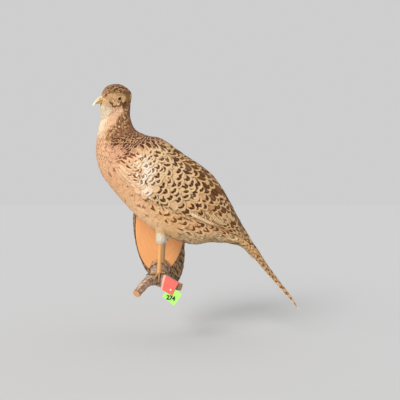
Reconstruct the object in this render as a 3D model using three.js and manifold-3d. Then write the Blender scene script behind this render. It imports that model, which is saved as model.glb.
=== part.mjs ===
// A hen pheasant mounted for the wall: the bird stands on a forked branch that grows
// out of an obliquely sawn, bark-edged slice of log.
// Millimetres, +Z up. The origin is the middle of the plaque's back, which lies on the
// wall in the plane Y = 0; the bird stands in front of it, on the -Y side, facing -X.
import * as THREE from "three";
import { mergeVertices } from "three/addons/utils/BufferGeometryUtils.js";
import Module from "manifold-3d";

const wasm = await Module();
wasm.setup();

// ---------------------------------------------------------------- driving dimensions
const GAP = 0.3; // clearance between pieces that touch
const BIRD_Y = -105; // the bird's plane of symmetry, out from the wall
const HEAD_AXIS_X = -74; // the upright line about which the head is turned
const HEAD_TURN = THREE.MathUtils.degToRad(22); // the face is turned out from the wall
const HEAD_STRETCH = 1 / Math.cos(HEAD_TURN); // keeps the turned head as long in profile

// The feathered body in profile, from the base of the bill to the root of the tail.
// back and front are the ends of each section on the upper and under side (x, z),
// half is half the body's width there without the wings.
const STATIONS = [
  { at: "bill base", back: [-99, 258], front: [-99.5, 243], half: 6.5 },
  { at: "forehead", back: [-96.5, 267], front: [-100.5, 239.5], half: 9.5 },
  { at: "brow", back: [-88, 277.5], front: [-101, 235.5], half: 12.5 },
  { at: "crown", back: [-67.5, 280.8], front: [-100.5, 228.5], half: 15 },
  { at: "nape", back: [-49, 267.5], front: [-100, 222], half: 16 },
  { at: "upper neck", back: [-50, 243], front: [-101, 213], half: 16.5 },
  { at: "middle neck", back: [-50, 223], front: [-105, 198], half: 19 },
  { at: "lower neck", back: [-44, 205], front: [-108.5, 179], half: 26 },
  { at: "crop", back: [-33.5, 195], front: [-110, 155], half: 35 },
  { at: "breast", back: [-14.5, 187.5], front: [-104.5, 129], half: 43 },
  { at: "shoulder", back: [8, 182.5], front: [-89.5, 103], half: 49 },
  { at: "keel", back: [49, 154.5], front: [-42.5, 49], half: 53 },
  { at: "belly", back: [99, 116.5], front: [5, 13], half: 50 },
  { at: "vent", back: [131, 67.5], front: [61, -6.5], half: 37 },
  { at: "rump", back: [148, 37], front: [99, -3], half: 25 },
  { at: "tail coverts", back: [168, 3], front: [147, -10.5], half: 14 },
];
const WIDEST = 0.52; // how far up each section its widest point lies
const HEAD_END = 4.5; // station numbers where the named lengths of the body meet
const NECK_END = 7.5;
const BODY_END = STATIONS.length - 1;

// The eye, the bill and the tail.
const EYE = { x: -72.2, z: 252.6, radius: 5.6, out: 11 };
const BILL = {
  root: [-88, 253], // deep in the face, where both mandibles start
  tip: [-114.5, 243],
  halfWidth: 6.2,
  upperHeight: 9.6,
  lowerHeight: 4.8,
  arch: 2, // how far the bill bows upwards on its way to the tip
  gapeDrop: 2.6, // the line where the mandibles meet, below the bill's own line
};
const TAIL = {
  root: [155, 3],
  middle: [199, -57],
  tip: [251.5, -120.5],
  heights: [24, 20, 16.5, 13.5, 12, 10.5, 9, 6.5, 2.6],
  halfWidths: [14, 17, 17.5, 16, 13.5, 11, 8, 5, 1.6],
};

// The folded wing, laid on the body's side. Its edges are angles round the body, from
// the back (0) to the underside (180 degrees), at even steps from the wrist to the tip.
const WING = {
  wrist: 9.5, // station numbers of its two ends
  tip: 14.75,
  upper: [58, 36, 30, 27, 27, 32, 46, 66],
  lower: [100, 117, 118, 110, 101, 94, 90, 80],
  thickness: 9,
  rim: 1.2,
  stand: 1.3, // its under side above the body's side
};

// Legs: the feathered shank, the bare tarsus and the toes of each side.
const LEGS = {
  left: { hip: [9, -116, 40], heel: [7, -127, 1.5], foot: [4.8, -139, -53] },
  right: { hip: [13, -93, 40], heel: [11, -86, 1.5], foot: [8, -81, -42.5] },
};
const SHANK_TOP = 11;
const SHANK_HEEL = 8.6;
const TARSUS = { heel: 3.7, shaft: 3, foot: 3.4 };
const FOOT_PAD = { radius: 4.1, flat: 0.75 };
const CLAW = { length: 8.5, root: 1.7, tip: 0.35 };
// Each toe's heading, in degrees from straight ahead (-X) towards the room (-Y), its
// length without the claw, and its radius at the root and at the claw.
const TOES = {
  left: {
    inner: { heading: 38, length: 19, radii: [2.3, 1.7] },
    middle: { heading: 66, length: 25, radii: [2.4, 1.7] },
    outer: { heading: 94, length: 21, radii: [2.2, 1.6] },
    hind: { heading: 188, length: 11, radii: [2, 1.6] },
  },
  right: {
    inner: { heading: 30, length: 23, radii: [2.3, 1.7] },
    middle: { heading: -4, length: 32, radii: [2.4, 1.7] },
    outer: { heading: -38, length: 25, radii: [2.2, 1.6] },
    hind: { heading: 178, length: 11, radii: [2, 1.6] },
  },
};

// The plaque: three elliptical sections from its back to its face. The log was sawn at a
// slant, so the face sits higher than the back and the bark slopes away below it.
// a and b are the half-axes and lean turns the section's top to the left, in degrees.
const PLAQUE = {
  bark: 1.8,
  back: { y: 0, x: -2, z: -2, a: 45.5, b: 99, lean: 11.5 },
  middle: { y: -16, x: -3, z: 3, a: 47, b: 100, lean: 11.5 },
  face: { y: -28, x: 0.5, z: 22, a: 49.3, b: 90, lean: -2.5 },
};

// The branch: where the stem leaves the plaque, where it forks, and its two cut ends.
const BRANCH = {
  root: new THREE.Vector3(2, -6, -58),
  middle: new THREE.Vector3(0.5, -75, -57),
  fork: new THREE.Vector3(4.5, -127, -65.5),
  leftEnd: new THREE.Vector3(-30.5, -177, -86),
  rightEnd: new THREE.Vector3(43.5, -146, -79),
  knee: new THREE.Vector3(0, 6, -1.5),
  leftRise: new THREE.Vector3(-0.5, 1.5, 7), // how far each arm bows off a straight line
  rightRise: new THREE.Vector3(0, -3, -1),
  stem: [20, 15.5, 14],
  left: [12, 8.8, 7.3],
  right: [14.5, 11.2, 6.8],
};

// The two paper labels on the branch's right arm: the red one is folded over the arm,
// the green card hangs askew behind it, and one round tack holds both.
const LABEL = {
  paper: 0.6,
  stand: 3, // how far the red paper stands off the arm
  red: { width: 23.5, flare: 6.5, drop: 14.4, fold: THREE.MathUtils.degToRad(43), at: 5.4 },
  green: { width: 26.5, height: 23.5, turn: THREE.MathUtils.degToRad(9), at: [17, 15] },
  tack: { radius: 2, at: [11.3, 7.3] },
};

// --------------------------------------------------------------------- smooth tables
// Catmull-Rom value of a list at a real-numbered place in it.
function along(list, place) {
  const last = list.length - 1;
  const i = Math.min(Math.max(Math.floor(place), 0), last - 1);
  const t = place - i;
  const value = (k) => list[Math.min(Math.max(k, 0), last)];
  const [p, q, r, s] = [value(i - 1), value(i), value(i + 1), value(i + 2)];
  const bend = 2 * p - 5 * q + 4 * r - s;
  const swing = 3 * q - p - 3 * r + s;
  return 0.5 * (2 * q + (r - p) * t + bend * t * t + swing * t * t * t);
}
const column = (pick) => STATIONS.map(pick);
const backX = column((s) => s.back[0]);
const backZ = column((s) => s.back[1]);
const frontX = column((s) => s.front[0]);
const frontZ = column((s) => s.front[1]);
const halfWidth = column((s) => s.half);

// The head's share of the turn: all of it above the neck, none below the crop.
function headShare(place) {
  return 1 - THREE.MathUtils.smoothstep(place, 3.5, 8.5);
}

// Turns a point of the straight bird with the head.
function turned(point, place) {
  const share = headShare(place);
  const angle = HEAD_TURN * share;
  const stretch = 1 + (HEAD_STRETCH - 1) * share;
  const dx = (point.x - HEAD_AXIS_X) * stretch;
  const dy = point.y;
  return new THREE.Vector3(
    HEAD_AXIS_X + dx * Math.cos(angle) - dy * Math.sin(angle),
    BIRD_Y + dx * Math.sin(angle) + dy * Math.cos(angle),
    point.z,
  );
}

// A point of the feathered body: place counts stations, angle goes round from the back.
function skin(place, angle) {
  const bx = along(backX, place);
  const bz = along(backZ, place);
  const fx = along(frontX, place);
  const fz = along(frontZ, place);
  const cos = Math.cos(angle);
  const rise = cos > 0 ? WIDEST + (1 - WIDEST) * cos : WIDEST * (1 + cos);
  const point = new THREE.Vector3(
    fx + (bx - fx) * rise,
    -along(halfWidth, place) * Math.sin(angle),
    fz + (bz - fz) * rise,
  );
  return turned(point, place);
}

// The same point moved out along the surface's normal.
function skinOut(place, angle, out) {
  const h = 0.02;
  const low = Math.max(place - h, 0);
  const high = Math.min(place + h, BODY_END);
  const alongBody = skin(high, angle).sub(skin(low, angle));
  const around = skin(place, angle + h).sub(skin(place, angle - h));
  const normal = around.cross(alongBody).normalize();
  return skin(place, angle).addScaledVector(normal, out);
}

// ------------------------------------------------------------------- solids from grids
// A closed solid from rings of points, one after the other, with flat ends.
function lofted(rings) {
  const size = rings[0].length;
  const middles = [rings[0], rings.at(-1)].map((ring) =>
    ring.reduce((sum, p) => sum.add(p), new THREE.Vector3()).divideScalar(size),
  );
  const points = [...rings.flat(), ...middles];
  const faces = [];
  for (let i = 0; i < rings.length - 1; i++) {
    for (let j = 0; j < size; j++) {
      const a = i * size + j;
      const b = i * size + ((j + 1) % size);
      faces.push(a, b, b + size, a, b + size, a + size);
    }
  }
  const lastRing = (rings.length - 1) * size;
  for (let j = 0; j < size; j++) {
    const next = (j + 1) % size;
    faces.push(rings.length * size, next, j);
    faces.push(rings.length * size + 1, lastRing + j, lastRing + next);
  }
  return new THREE.BufferGeometry().setFromPoints(points).setIndex(faces);
}

// A closed sheet from a grid of outer points and the grid of inner points under it.
function sheeted(outer, inner) {
  const rings = outer.map((row, i) => [...row, ...inner[i].slice().reverse()]);
  return lofted(rings);
}

// Rings round a path: radius(t) and squash set each ring's size, across its normal.
function tubeRings(path, radius, steps, sides) {
  const frames = path.computeFrenetFrames(steps, false);
  return Array.from({ length: steps + 1 }, (_, i) => {
    const t = i / steps;
    const centre = path.getPointAt(t);
    return Array.from({ length: sides }, (_, j) => {
      const turn = (2 * Math.PI * j) / sides;
      return centre
        .clone()
        .addScaledVector(frames.normals[i], radius(t) * Math.cos(turn))
        .addScaledVector(frames.binormals[i], radius(t) * Math.sin(turn));
    });
  });
}
const curve = (points) => new THREE.CatmullRomCurve3(points, false, "centripetal");
const tube = (points, radius, steps, sides) =>
  lofted(tubeRings(curve(points), radius, steps, sides));

// ------------------------------------------------------------------ booleans on solids
function solid(geometry) {
  const bare = new THREE.BufferGeometry();
  bare.setAttribute("position", geometry.getAttribute("position"));
  bare.setIndex(geometry.index);
  const merged = mergeVertices(bare, 1e-4);
  const made = new wasm.Manifold(
    new wasm.Mesh({
      numProp: 3,
      vertProperties: new Float32Array(merged.attributes.position.array),
      triVerts: new Uint32Array(merged.index.array),
    }),
  );
  if (made.volume() >= 0) return made;
  const flipped = merged.index.array.slice();
  for (let i = 0; i < flipped.length; i += 3) {
    [flipped[i + 1], flipped[i + 2]] = [flipped[i + 2], flipped[i + 1]];
  }
  return new wasm.Manifold(
    new wasm.Mesh({
      numProp: 3,
      vertProperties: new Float32Array(merged.attributes.position.array),
      triVerts: new Uint32Array(flipped),
    }),
  );
}

// The largest body of a solid, as a geometry.
function geometryOf(manifold) {
  const bodies = manifold.decompose();
  bodies.sort((p, q) => q.volume() - p.volume());
  const mesh = bodies[0].getMesh();
  const n = mesh.numProp;
  const xyz = new Float32Array(mesh.numVert * 3);
  for (let i = 0; i < mesh.numVert; i++) {
    xyz.set(mesh.vertProperties.subarray(i * n, i * n + 3), i * 3);
  }
  return new THREE.BufferGeometry()
    .setAttribute("position", new THREE.BufferAttribute(xyz, 3))
    .setIndex(new THREE.BufferAttribute(mesh.triVerts, 1));
}

// ----------------------------------------------------------------------- the materials
const finish = (color, roughness) =>
  new THREE.MeshStandardMaterial({ color, roughness, metalness: 0 });
const PLUMAGE = finish(0xcda579, 0.85);
const PALE_PLUMAGE = finish(0xe0cbaa, 0.9);
const HORN = finish(0xcfae74, 0.45);
const GLASS_EYE = finish(0x2a1608, 0.1);
const SCALY_LEG = finish(0xc18a4a, 0.5);
const CLAW_HORN = finish(0x6e5236, 0.4);
const VARNISHED = finish(0xe39a55, 0.35);
const BARK = finish(0x8b6f58, 0.9);
const RED_PAPER = finish(0xf2695e, 0.7);
const GREEN_PAPER = finish(0xaef26a, 0.7);
const STEEL = finish(0xcfcfc8, 0.35);

const pheasant = new THREE.Group();
function add(name, manifold, material) {
  const mesh = new THREE.Mesh(geometryOf(manifold), material);
  mesh.name = name;
  pheasant.add(mesh);
  return manifold;
}

// ---------------------------------------------------------------- head, neck and trunk
function bodyLength(from, to, steps, sides, out = 0) {
  const rings = Array.from({ length: steps + 1 }, (_, i) => {
    const place = from + ((to - from) * i) / steps;
    return Array.from({ length: sides }, (_, j) =>
      skinOut(place, (2 * Math.PI * j) / sides, out),
    );
  });
  return solid(lofted(rings));
}
const CUT = 0.012; // half the thin cut between two lengths of the body, in stations

function eyeBall(side, extra) {
  const centre = turned(new THREE.Vector3(EYE.x, -side * EYE.out, EYE.z), 0);
  const ball = new THREE.SphereGeometry(EYE.radius + extra, 14, 9);
  return solid(ball.translate(centre.x, centre.y, centre.z));
}

// One mandible: rings along the bill from root to tip, above or below the gape.
function mandible(upper) {
  const [rootX, rootZ] = BILL.root;
  const [tipX, tipZ] = BILL.tip;
  const steps = 8;
  const reach = upper ? 1 : 0.84;
  const rings = Array.from({ length: steps + 1 }, (_, i) => {
    const t = (i / steps) * reach;
    const taper = Math.sqrt(Math.max(1 - t * t * 0.985, 0.01));
    const x = rootX + (tipX - rootX) * t;
    const z = rootZ + (tipZ - rootZ) * t * t - BILL.gapeDrop;
    const wide = BILL.halfWidth * (upper ? taper : taper * 0.86);
    const high = upper ? BILL.upperHeight * taper : -BILL.lowerHeight * taper;
    const shift = upper ? GAP / 2 : -GAP / 2;
    return Array.from({ length: 10 }, (_, j) => {
      const turn = (Math.PI * j) / 9;
      const flat = new THREE.Vector3(
        x,
        wide * Math.cos(turn),
        z + BILL.arch * (1 - t) + shift + high * Math.sin(turn),
      );
      return turned(flat, 0);
    });
  });
  return solid(lofted(rings));
}

const headSwollen = bodyLength(0, HEAD_END, 13, 24, GAP);
const eyes = { left: eyeBall(1, 0), right: eyeBall(-1, 0) };
let head = bodyLength(0, HEAD_END - CUT, 13, 24);
for (const side of [1, -1]) head = head.subtract(eyeBall(side, GAP));
add("head", head, PLUMAGE);
add("eye_left", eyes.left, GLASS_EYE);
add("eye_right", eyes.right, GLASS_EYE);
add("bill_upper", mandible(true).subtract(headSwollen), HORN);
add("bill_lower", mandible(false).subtract(headSwollen), HORN);
add("neck", bodyLength(HEAD_END + CUT, NECK_END - CUT, 6, 26), PLUMAGE);
add("trunk", bodyLength(NECK_END + CUT, BODY_END - CUT, 17, 26), PLUMAGE);

// ------------------------------------------------------------------------------- wings
function wing(side) {
  const steps = 14;
  const across = 7;
  const grid = (out) =>
    Array.from({ length: steps + 1 }, (_, i) => {
      const t = i / steps;
      const place = WING.wrist + (WING.tip - WING.wrist) * t;
      const upper = along(WING.upper, t * (WING.upper.length - 1));
      const lower = along(WING.lower, t * (WING.lower.length - 1));
      const swell = Math.pow(Math.sin(Math.PI * Math.min(0.12 + t * 0.8, 1)), 0.6);
      return Array.from({ length: across + 1 }, (_, j) => {
        const q = j / across;
        const angle = THREE.MathUtils.degToRad(upper + (lower - upper) * q);
        const crown = Math.pow(Math.sin(Math.PI * (0.04 + 0.92 * q)), 0.5);
        const thick = WING.rim + WING.thickness * crown * swell;
        return skinOut(place, side * angle, WING.stand + (out ? thick : 0));
      });
    });
  return solid(sheeted(grid(true), grid(false)));
}
add("wing_left", wing(1), PLUMAGE);
add("wing_right", wing(-1), PLUMAGE);

// -------------------------------------------------------------------------------- tail
function tail() {
  const [root, middle, tip] = [TAIL.root, TAIL.middle, TAIL.tip].map(
    ([x, z]) => new THREE.Vector3(x, BIRD_Y, z),
  );
  const path = curve([root, middle, tip]);
  const steps = 12;
  const sides = 16;
  const rings = Array.from({ length: steps + 1 }, (_, i) => {
    const t = i / steps;
    const high = along(TAIL.heights, t * (TAIL.heights.length - 1)) / 2;
    const wide = along(TAIL.halfWidths, t * (TAIL.halfWidths.length - 1));
    const way = path.getTangentAt(t);
    const up = new THREE.Vector3(-way.z, 0, way.x);
    const centre = path.getPointAt(t);
    return Array.from({ length: sides }, (_, j) => {
      const turn = (2 * Math.PI * j) / sides;
      const sag = 0.35 * high * (1 - Math.abs(Math.cos(turn))); // a shallow roof
      return centre
        .clone()
        .addScaledVector(up, high * Math.cos(turn) - sag)
        .add(new THREE.Vector3(0, wide * Math.sin(turn), 0));
    });
  });
  return solid(lofted(rings));
}
const bodySwollen = bodyLength(NECK_END, BODY_END, 17, 26, GAP);
add("tail", tail().subtract(bodySwollen), PLUMAGE);

// -------------------------------------------------------------------------------- legs
const vector = (list) => new THREE.Vector3(...list);

// The plaque's solid, every section drawn in by inset, and run on past both its ends.
function plaqueSolid(inset, ends = 0) {
  const { back, middle, face } = PLAQUE;
  const behind = { ...back, y: back.y + ends };
  const before = { ...face, y: face.y - ends };
  const levels = ends > 0 ? [behind, back, middle, face, before] : [back, middle, face];
  const rings = levels.map((level) =>
    Array.from({ length: 48 }, (_, j) => {
      const turn = (2 * Math.PI * j) / 48;
      const x = (level.a - inset) * Math.cos(turn);
      const z = (level.b - inset) * Math.sin(turn);
      const c = Math.cos(THREE.MathUtils.degToRad(level.lean));
      const s = Math.sin(THREE.MathUtils.degToRad(level.lean));
      return new THREE.Vector3(level.x + x * c - z * s, level.y, level.z + x * s + z * c);
    }),
  );
  return solid(lofted(rings));
}

// The branch's three limbs: the path of each and the three values of its radius.
function branchLimbs() {
  const { root, middle, fork, leftEnd, rightEnd, leftRise, rightRise } = BRANCH;
  const start = fork.clone().add(BRANCH.knee); // the arms start inside the fork
  const bend = (end, rise) => fork.clone().lerp(end, 0.5).add(rise);
  return {
    stem: { path: curve([root, middle, fork]), radii: BRANCH.stem },
    left: { path: curve([start, bend(leftEnd, leftRise), leftEnd]), radii: BRANCH.left },
    right: {
      path: curve([start, bend(rightEnd, rightRise), rightEnd]),
      radii: BRANCH.right,
    },
  };
}
const limbs = branchLimbs();
const limbRadius = (limb, t) => along(limb.radii, t * (limb.radii.length - 1));

function branchPieces(extra) {
  const piece = (limb) =>
    solid(lofted(tubeRings(limb.path, (t) => limbRadius(limb, t) + extra, 8, 14)));
  return { stem: piece(limbs.stem), left: piece(limbs.left), right: piece(limbs.right) };
}
const branch = branchPieces(0);
const branchSwollen = branchPieces(GAP);
const wholeBranchSwollen = branchSwollen.stem
  .add(branchSwollen.left)
  .add(branchSwollen.right);

// Balls along the limbs, which give the height of any point above the bark.
const barkBalls = Object.values(limbs).flatMap((limb) =>
  Array.from({ length: 81 }, (_, i) => ({
    centre: limb.path.getPointAt(i / 80),
    radius: limbRadius(limb, i / 80),
  })),
);

// Moves a point to the given height above the bark, and gives the way up there.
function aboveBark(point, height) {
  let away = new THREE.Vector3(0, 0, 1);
  const moved = point.clone();
  for (let pass = 0; pass < 4; pass++) {
    let nearest = Infinity;
    let found = barkBalls[0];
    for (const ball of barkBalls) {
      const distance = moved.distanceTo(ball.centre) - ball.radius;
      if (distance < nearest) {
        nearest = distance;
        found = ball;
      }
    }
    away = moved.clone().sub(found.centre).normalize();
    moved.addScaledVector(away, height - nearest);
  }
  return { point: moved, away };
}

// Points of a toe that creeps over the bark from the foot's middle with a heading.
function creep(start, way, length, heights) {
  const points = [start.clone()];
  let ahead = way.clone();
  const steps = heights.length;
  for (const height of heights) {
    const next = points.at(-1).clone().addScaledVector(ahead, length / steps);
    const { point, away } = aboveBark(next, height);
    points.push(point);
    ahead = ahead.addScaledVector(away, -ahead.dot(away)).normalize();
  }
  return { points, ahead };
}

function legPieces(side) {
  const leg = LEGS[side];
  const [hip, heel, foot] = [vector(leg.hip), vector(leg.heel), vector(leg.foot)];
  const shankRadius = (t) => THREE.MathUtils.lerp(SHANK_TOP, SHANK_HEEL, t ** 0.8);
  const knee = hip.clone().lerp(heel, 0.5).add(new THREE.Vector3(-1, 0, 0));
  const padAt = aboveBark(foot, FOOT_PAD.radius * FOOT_PAD.flat - 0.6).point;
  const ballAt = (centre, radius, flat) =>
    solid(
      new THREE.SphereGeometry(radius, 9, 6)
        .scale(1, 1, flat)
        .translate(centre.x, centre.y, centre.z),
    );
  const thigh = solid(tube([hip, knee, heel], shankRadius, 7, 14));
  const shank = thigh.add(ballAt(heel, SHANK_HEEL, 1)).subtract(bodySwollen);
  add(`shank_${side}`, shank, PALE_PLUMAGE);

  const padClear = ballAt(padAt, FOOT_PAD.radius + GAP, FOOT_PAD.flat);
  const radius = (t) =>
    t < 0.5
      ? THREE.MathUtils.lerp(TARSUS.heel, TARSUS.shaft, Math.min(t * 4, 1))
      : THREE.MathUtils.lerp(TARSUS.shaft, TARSUS.foot, Math.max(t * 4 - 3, 0));
  const shaft = (extra) => solid(tube([heel, padAt], (t) => radius(t) + extra, 6, 8));
  const tarsus = shaft(0)
    .subtract(ballAt(heel, SHANK_HEEL + GAP, 1))
    .subtract(padClear);
  add(`tarsus_${side}`, tarsus, SCALY_LEG);
  const pad = ballAt(padAt, FOOT_PAD.radius, FOOT_PAD.flat);
  add(`foot_${side}`, pad.subtract(wholeBranchSwollen), SCALY_LEG);
  let taken = padClear.add(wholeBranchSwollen).add(shaft(GAP));
  for (const [name, toe] of Object.entries(TOES[side])) {
    const turn = THREE.MathUtils.degToRad(toe.heading);
    const heading = new THREE.Vector3(-Math.cos(turn), -Math.sin(turn), 0);
    const toeRadius = (t) => THREE.MathUtils.lerp(toe.radii[0], toe.radii[1], t);
    const heights = [0.2, 0.4, 0.6, 0.8, 1].map((t) => toeRadius(t) + GAP);
    const walk = creep(padAt, heading, toe.length, heights);
    const path = curve(walk.points);
    const fleshy = solid(lofted(tubeRings(path, toeRadius, 5, 6)));
    add(`toe_${name}_${side}`, fleshy.subtract(taken), SCALY_LEG);
    taken = taken.add(solid(lofted(tubeRings(path, (t) => toeRadius(t) + GAP, 5, 6))));

    const clawStart = walk.points.at(-1).clone().addScaledVector(walk.ahead, GAP * 2);
    const clawHeights = [CLAW.root + GAP, CLAW.root + GAP, CLAW.tip + GAP];
    const clawWalk = creep(clawStart, walk.ahead, CLAW.length, clawHeights);
    const clawRadius = (t) => THREE.MathUtils.lerp(CLAW.root, CLAW.tip, t);
    const claw = solid(lofted(tubeRings(curve(clawWalk.points), clawRadius, 4, 6)));
    add(`claw_${name}_${side}`, claw.subtract(taken), CLAW_HORN);
    taken = taken.add(claw);
  }
}
legPieces("left");
legPieces("right");

// ------------------------------------------------------------------ plaque and branch
add("plaque_wood", plaqueSolid(PLAQUE.bark), VARNISHED);
add("plaque_bark", plaqueSolid(0).subtract(plaqueSolid(PLAQUE.bark - GAP, 1)), BARK);
const plaqueClear = plaqueSolid(-GAP, GAP);
const stemClear = branchSwollen.stem;
add("branch_stem", branch.stem.subtract(plaqueClear), BARK);
add("branch_arm_left", branch.left.subtract(stemClear), BARK);
add(
  "branch_arm_right",
  branch.right.subtract(stemClear).subtract(branchSwollen.left),
  BARK,
);

// ------------------------------------------------------------------------------ labels
// The labels' own frame: along the arm's tapering side, out to the room, and down.
const taper = BRANCH.right.at(-1) - BRANCH.right[0];
const armWay = BRANCH.rightEnd
  .clone()
  .sub(BRANCH.fork)
  .add(new THREE.Vector3(0, -0.75 * taper, 0.66 * taper))
  .normalize();
const outWay = new THREE.Vector3(0, -1, 0).addScaledVector(armWay, armWay.y).normalize();
const downWay = armWay.clone().cross(outWay).normalize();
const labelMiddle = BRANCH.fork.clone().lerp(BRANCH.rightEnd, 0.5).add(BRANCH.rightRise);
const labelOut = BRANCH.right[1] + LABEL.stand;

const onArm = (a, out, down) =>
  labelMiddle
    .clone()
    .addScaledVector(armWay, a)
    .addScaledVector(outWay, out)
    .addScaledVector(downWay, down);

function redLabel() {
  const { width, flare, drop, fold, at } = LABEL.red;
  const profile = (r) => {
    const arc = Array.from({ length: 7 }, (_, i) => {
      const turn = fold * (1 - i / 6);
      return [r * Math.cos(turn), -r * Math.sin(turn)];
    });
    return [...arc, [r, drop / 2], [r, drop]];
  };
  const grid = (r) =>
    profile(r).map(([out, down]) => {
      const wider = flare * (1 - (down + r * Math.sin(fold)) / (drop + r * Math.sin(fold)));
      return [onArm(at - width / 2 - wider, out, down), onArm(at + width / 2, out, down)];
    });
  return solid(sheeted(grid(labelOut + LABEL.paper), grid(labelOut)));
}

function greenLabel() {
  const { width, height, turn, at } = LABEL.green;
  const out = labelOut - GAP - LABEL.paper - 0.5;
  const corner = (x, y) => [
    at[0] + x * Math.cos(turn) - y * Math.sin(turn),
    at[1] + x * Math.sin(turn) + y * Math.cos(turn),
  ];
  const corners = [
    corner(-width / 2, -height / 2),
    corner(width / 2, -height / 2),
    corner(width / 2, height / 2),
    corner(-width / 2, height / 2),
  ];
  const ring = (level) => corners.map(([a, down]) => onArm(a, level, down));
  return solid(lofted([ring(out), ring(out + LABEL.paper)]));
}
add("label_red", redLabel(), RED_PAPER);
add("label_green", greenLabel(), GREEN_PAPER);

function labelTack() {
  const { radius, at } = LABEL.tack;
  const dome = new THREE.SphereGeometry(radius, 10, 6);
  dome.scale(1, 0.4, 1);
  const out = labelOut + LABEL.paper + GAP + radius * 0.4 + 0.25;
  const place = onArm(at[0], out, at[1]);
  dome.rotateZ(Math.atan2(outWay.x, -outWay.y));
  return solid(dome.translate(place.x, place.y, place.z));
}
add("label_tack", labelTack(), STEEL);

export default pheasant;
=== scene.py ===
# A hen pheasant mounted for the wall: the bird stands on a forked branch that grows out
# of an obliquely sawn, bark-edged slice of log. A red paper and a green card with plain
# figures hang on the branch.
# Sizes below are millimetres, and every mesh is written in metres in the CAD frame: the
# wall is the plane Y = 0, the bird stands in front of it (-Y) and faces -X, up is +Z.
import math

import bpy
import numpy as np
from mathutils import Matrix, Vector


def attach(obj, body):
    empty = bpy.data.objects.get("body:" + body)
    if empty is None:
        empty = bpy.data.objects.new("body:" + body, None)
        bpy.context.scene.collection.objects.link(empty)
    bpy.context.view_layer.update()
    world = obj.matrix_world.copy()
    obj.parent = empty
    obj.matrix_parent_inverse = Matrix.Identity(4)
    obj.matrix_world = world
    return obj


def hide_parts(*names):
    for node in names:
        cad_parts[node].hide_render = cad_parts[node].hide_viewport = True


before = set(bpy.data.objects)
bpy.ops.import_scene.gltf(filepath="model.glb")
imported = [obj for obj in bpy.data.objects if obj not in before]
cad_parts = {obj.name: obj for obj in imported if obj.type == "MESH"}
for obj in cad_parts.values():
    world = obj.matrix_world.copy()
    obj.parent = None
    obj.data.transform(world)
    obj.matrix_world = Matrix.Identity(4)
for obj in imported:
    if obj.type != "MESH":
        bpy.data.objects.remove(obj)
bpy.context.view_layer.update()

MM = 0.001
rng = np.random.default_rng(41)

# ------------ driving dimensions
BIRD_Y = -105.0  # the bird's plane of symmetry, out from the wall
HEAD_AXIS_X = -74.0  # the upright line about which the head is turned
HEAD_TURN = math.radians(22)
HEAD_STRETCH = 1 / math.cos(HEAD_TURN)

# The plumage's outer surface in profile, from the bill's base to the tail's root, by
# station: upper side (x, z), under side (x, z) and half the width. The last two stations
# run on over the tail, so that the coverts can lie on it.
STATIONS = np.array([
    (-99, 258, -99.5, 243, 6.5),  # 0 bill base
    (-96.5, 267, -100.5, 239.5, 9.5),  # 1 forehead
    (-88, 277.5, -101, 235.5, 12.5),  # 2 brow
    (-67.5, 280.8, -100.5, 228.5, 15),  # 3 crown
    (-49, 267.5, -100, 222, 16),  # 4 nape
    (-50, 243, -101, 213, 16.5),  # 5 upper neck
    (-50, 223, -105, 198, 19),  # 6 middle neck
    (-44, 205, -108.5, 179, 26),  # 7 lower neck
    (-33.5, 195, -110, 155, 35),  # 8 crop
    (-14.5, 187.5, -104.5, 129, 43),  # 9 breast
    (8, 182.5, -89.5, 103, 49),  # 10 shoulder
    (49, 154.5, -42.5, 49, 53),  # 11 keel
    (99, 116.5, 5, 13, 50),  # 12 belly
    (131, 67.5, 61, -6.5, 37),  # 13 vent
    (148, 37, 99, -3, 25),  # 14 rump
    (168, 3, 147, -10.5, 14),  # 15 tail coverts
    (184.5, -22, 171, -32.5, 15.5),  # 16 on the tail
    (197.5, -43, 186.5, -51, 15.5),  # 17 on the tail
], float)
WIDEST = 0.52  # how far up each section its widest point lies

# The folded wing: its edges are degrees round the body from the back, at even steps from
# the wrist to the tip, which are station numbers.
WRIST = 9.5
WING_TIP = 14.75
WING_UPPER = np.array([58, 36, 30, 27, 27, 32, 46, 66], float)
WING_LOWER = np.array([100, 117, 118, 110, 101, 94, 90, 82], float)
WING_RISE = 2.5  # its edge above the body's side, and its crown above that
WING_CROWN = 9.0

EYE = {"x": -72.2, "z": 252.6, "radius": 5.6, "out": 11.0, "cornea": 0.25, "bare_rim": 4.3}
LIDS = {"tilt": math.radians(28), "long": 3.9, "high": 2.5, "reach": math.radians(60),
        "thick": 0.9}
BILL = {
    "root": (-88, 253), "tip": (-114.5, 243), "half_width": 6.2, "upper": 9.6,
    "lower": 4.8, "arch": 2.0, "gape_drop": 2.6,
}
TAIL = {
    "path": ((155, BIRD_Y, 3), (199, BIRD_Y, -57), (251.5, BIRD_Y, -120.5)),
    "length": 157,  # of the path; the surface runs on past its end at the same pace
    "heights": np.array([24, 20, 16.5, 13.5, 12, 10.5, 9, 6.5, 2.6]),
    "half_widths": np.array([14, 17, 17.5, 16, 13.5, 11, 8, 5, 1.6]),
    "feather": 163.0,  # length of the topmost pair; each is shorter by its share
    "shorter": np.array([0, 0.08, 0.17, 0.27, 0.37, 0.46, 0.54, 0.61, 0.66]),
    "first": 10,  # degrees round the tail of the topmost pair, and from pair to pair
    "apart": 19,
}
LEGS = {
    "left": {"hip": (9, -116, 40), "heel": (7, -127, 1.5), "foot": (4.8, -139, -53)},
    "right": {"hip": (13, -93, 40), "heel": (11, -86, 1.5), "foot": (8, -81, -42.5)},
}
SHANK_TOP = 11.0
SHANK_HEEL = 8.6
SHANK_END = 1.33
TARSUS = {"heel": 3.7, "shaft": 3.0, "foot": 3.4}
FOOT_PAD = {"radius": 4.1, "flat": 0.75, "sunk": 0.6}
CLAW = {"length": 8.5, "root": 1.7, "tip": 0.35}
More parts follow.
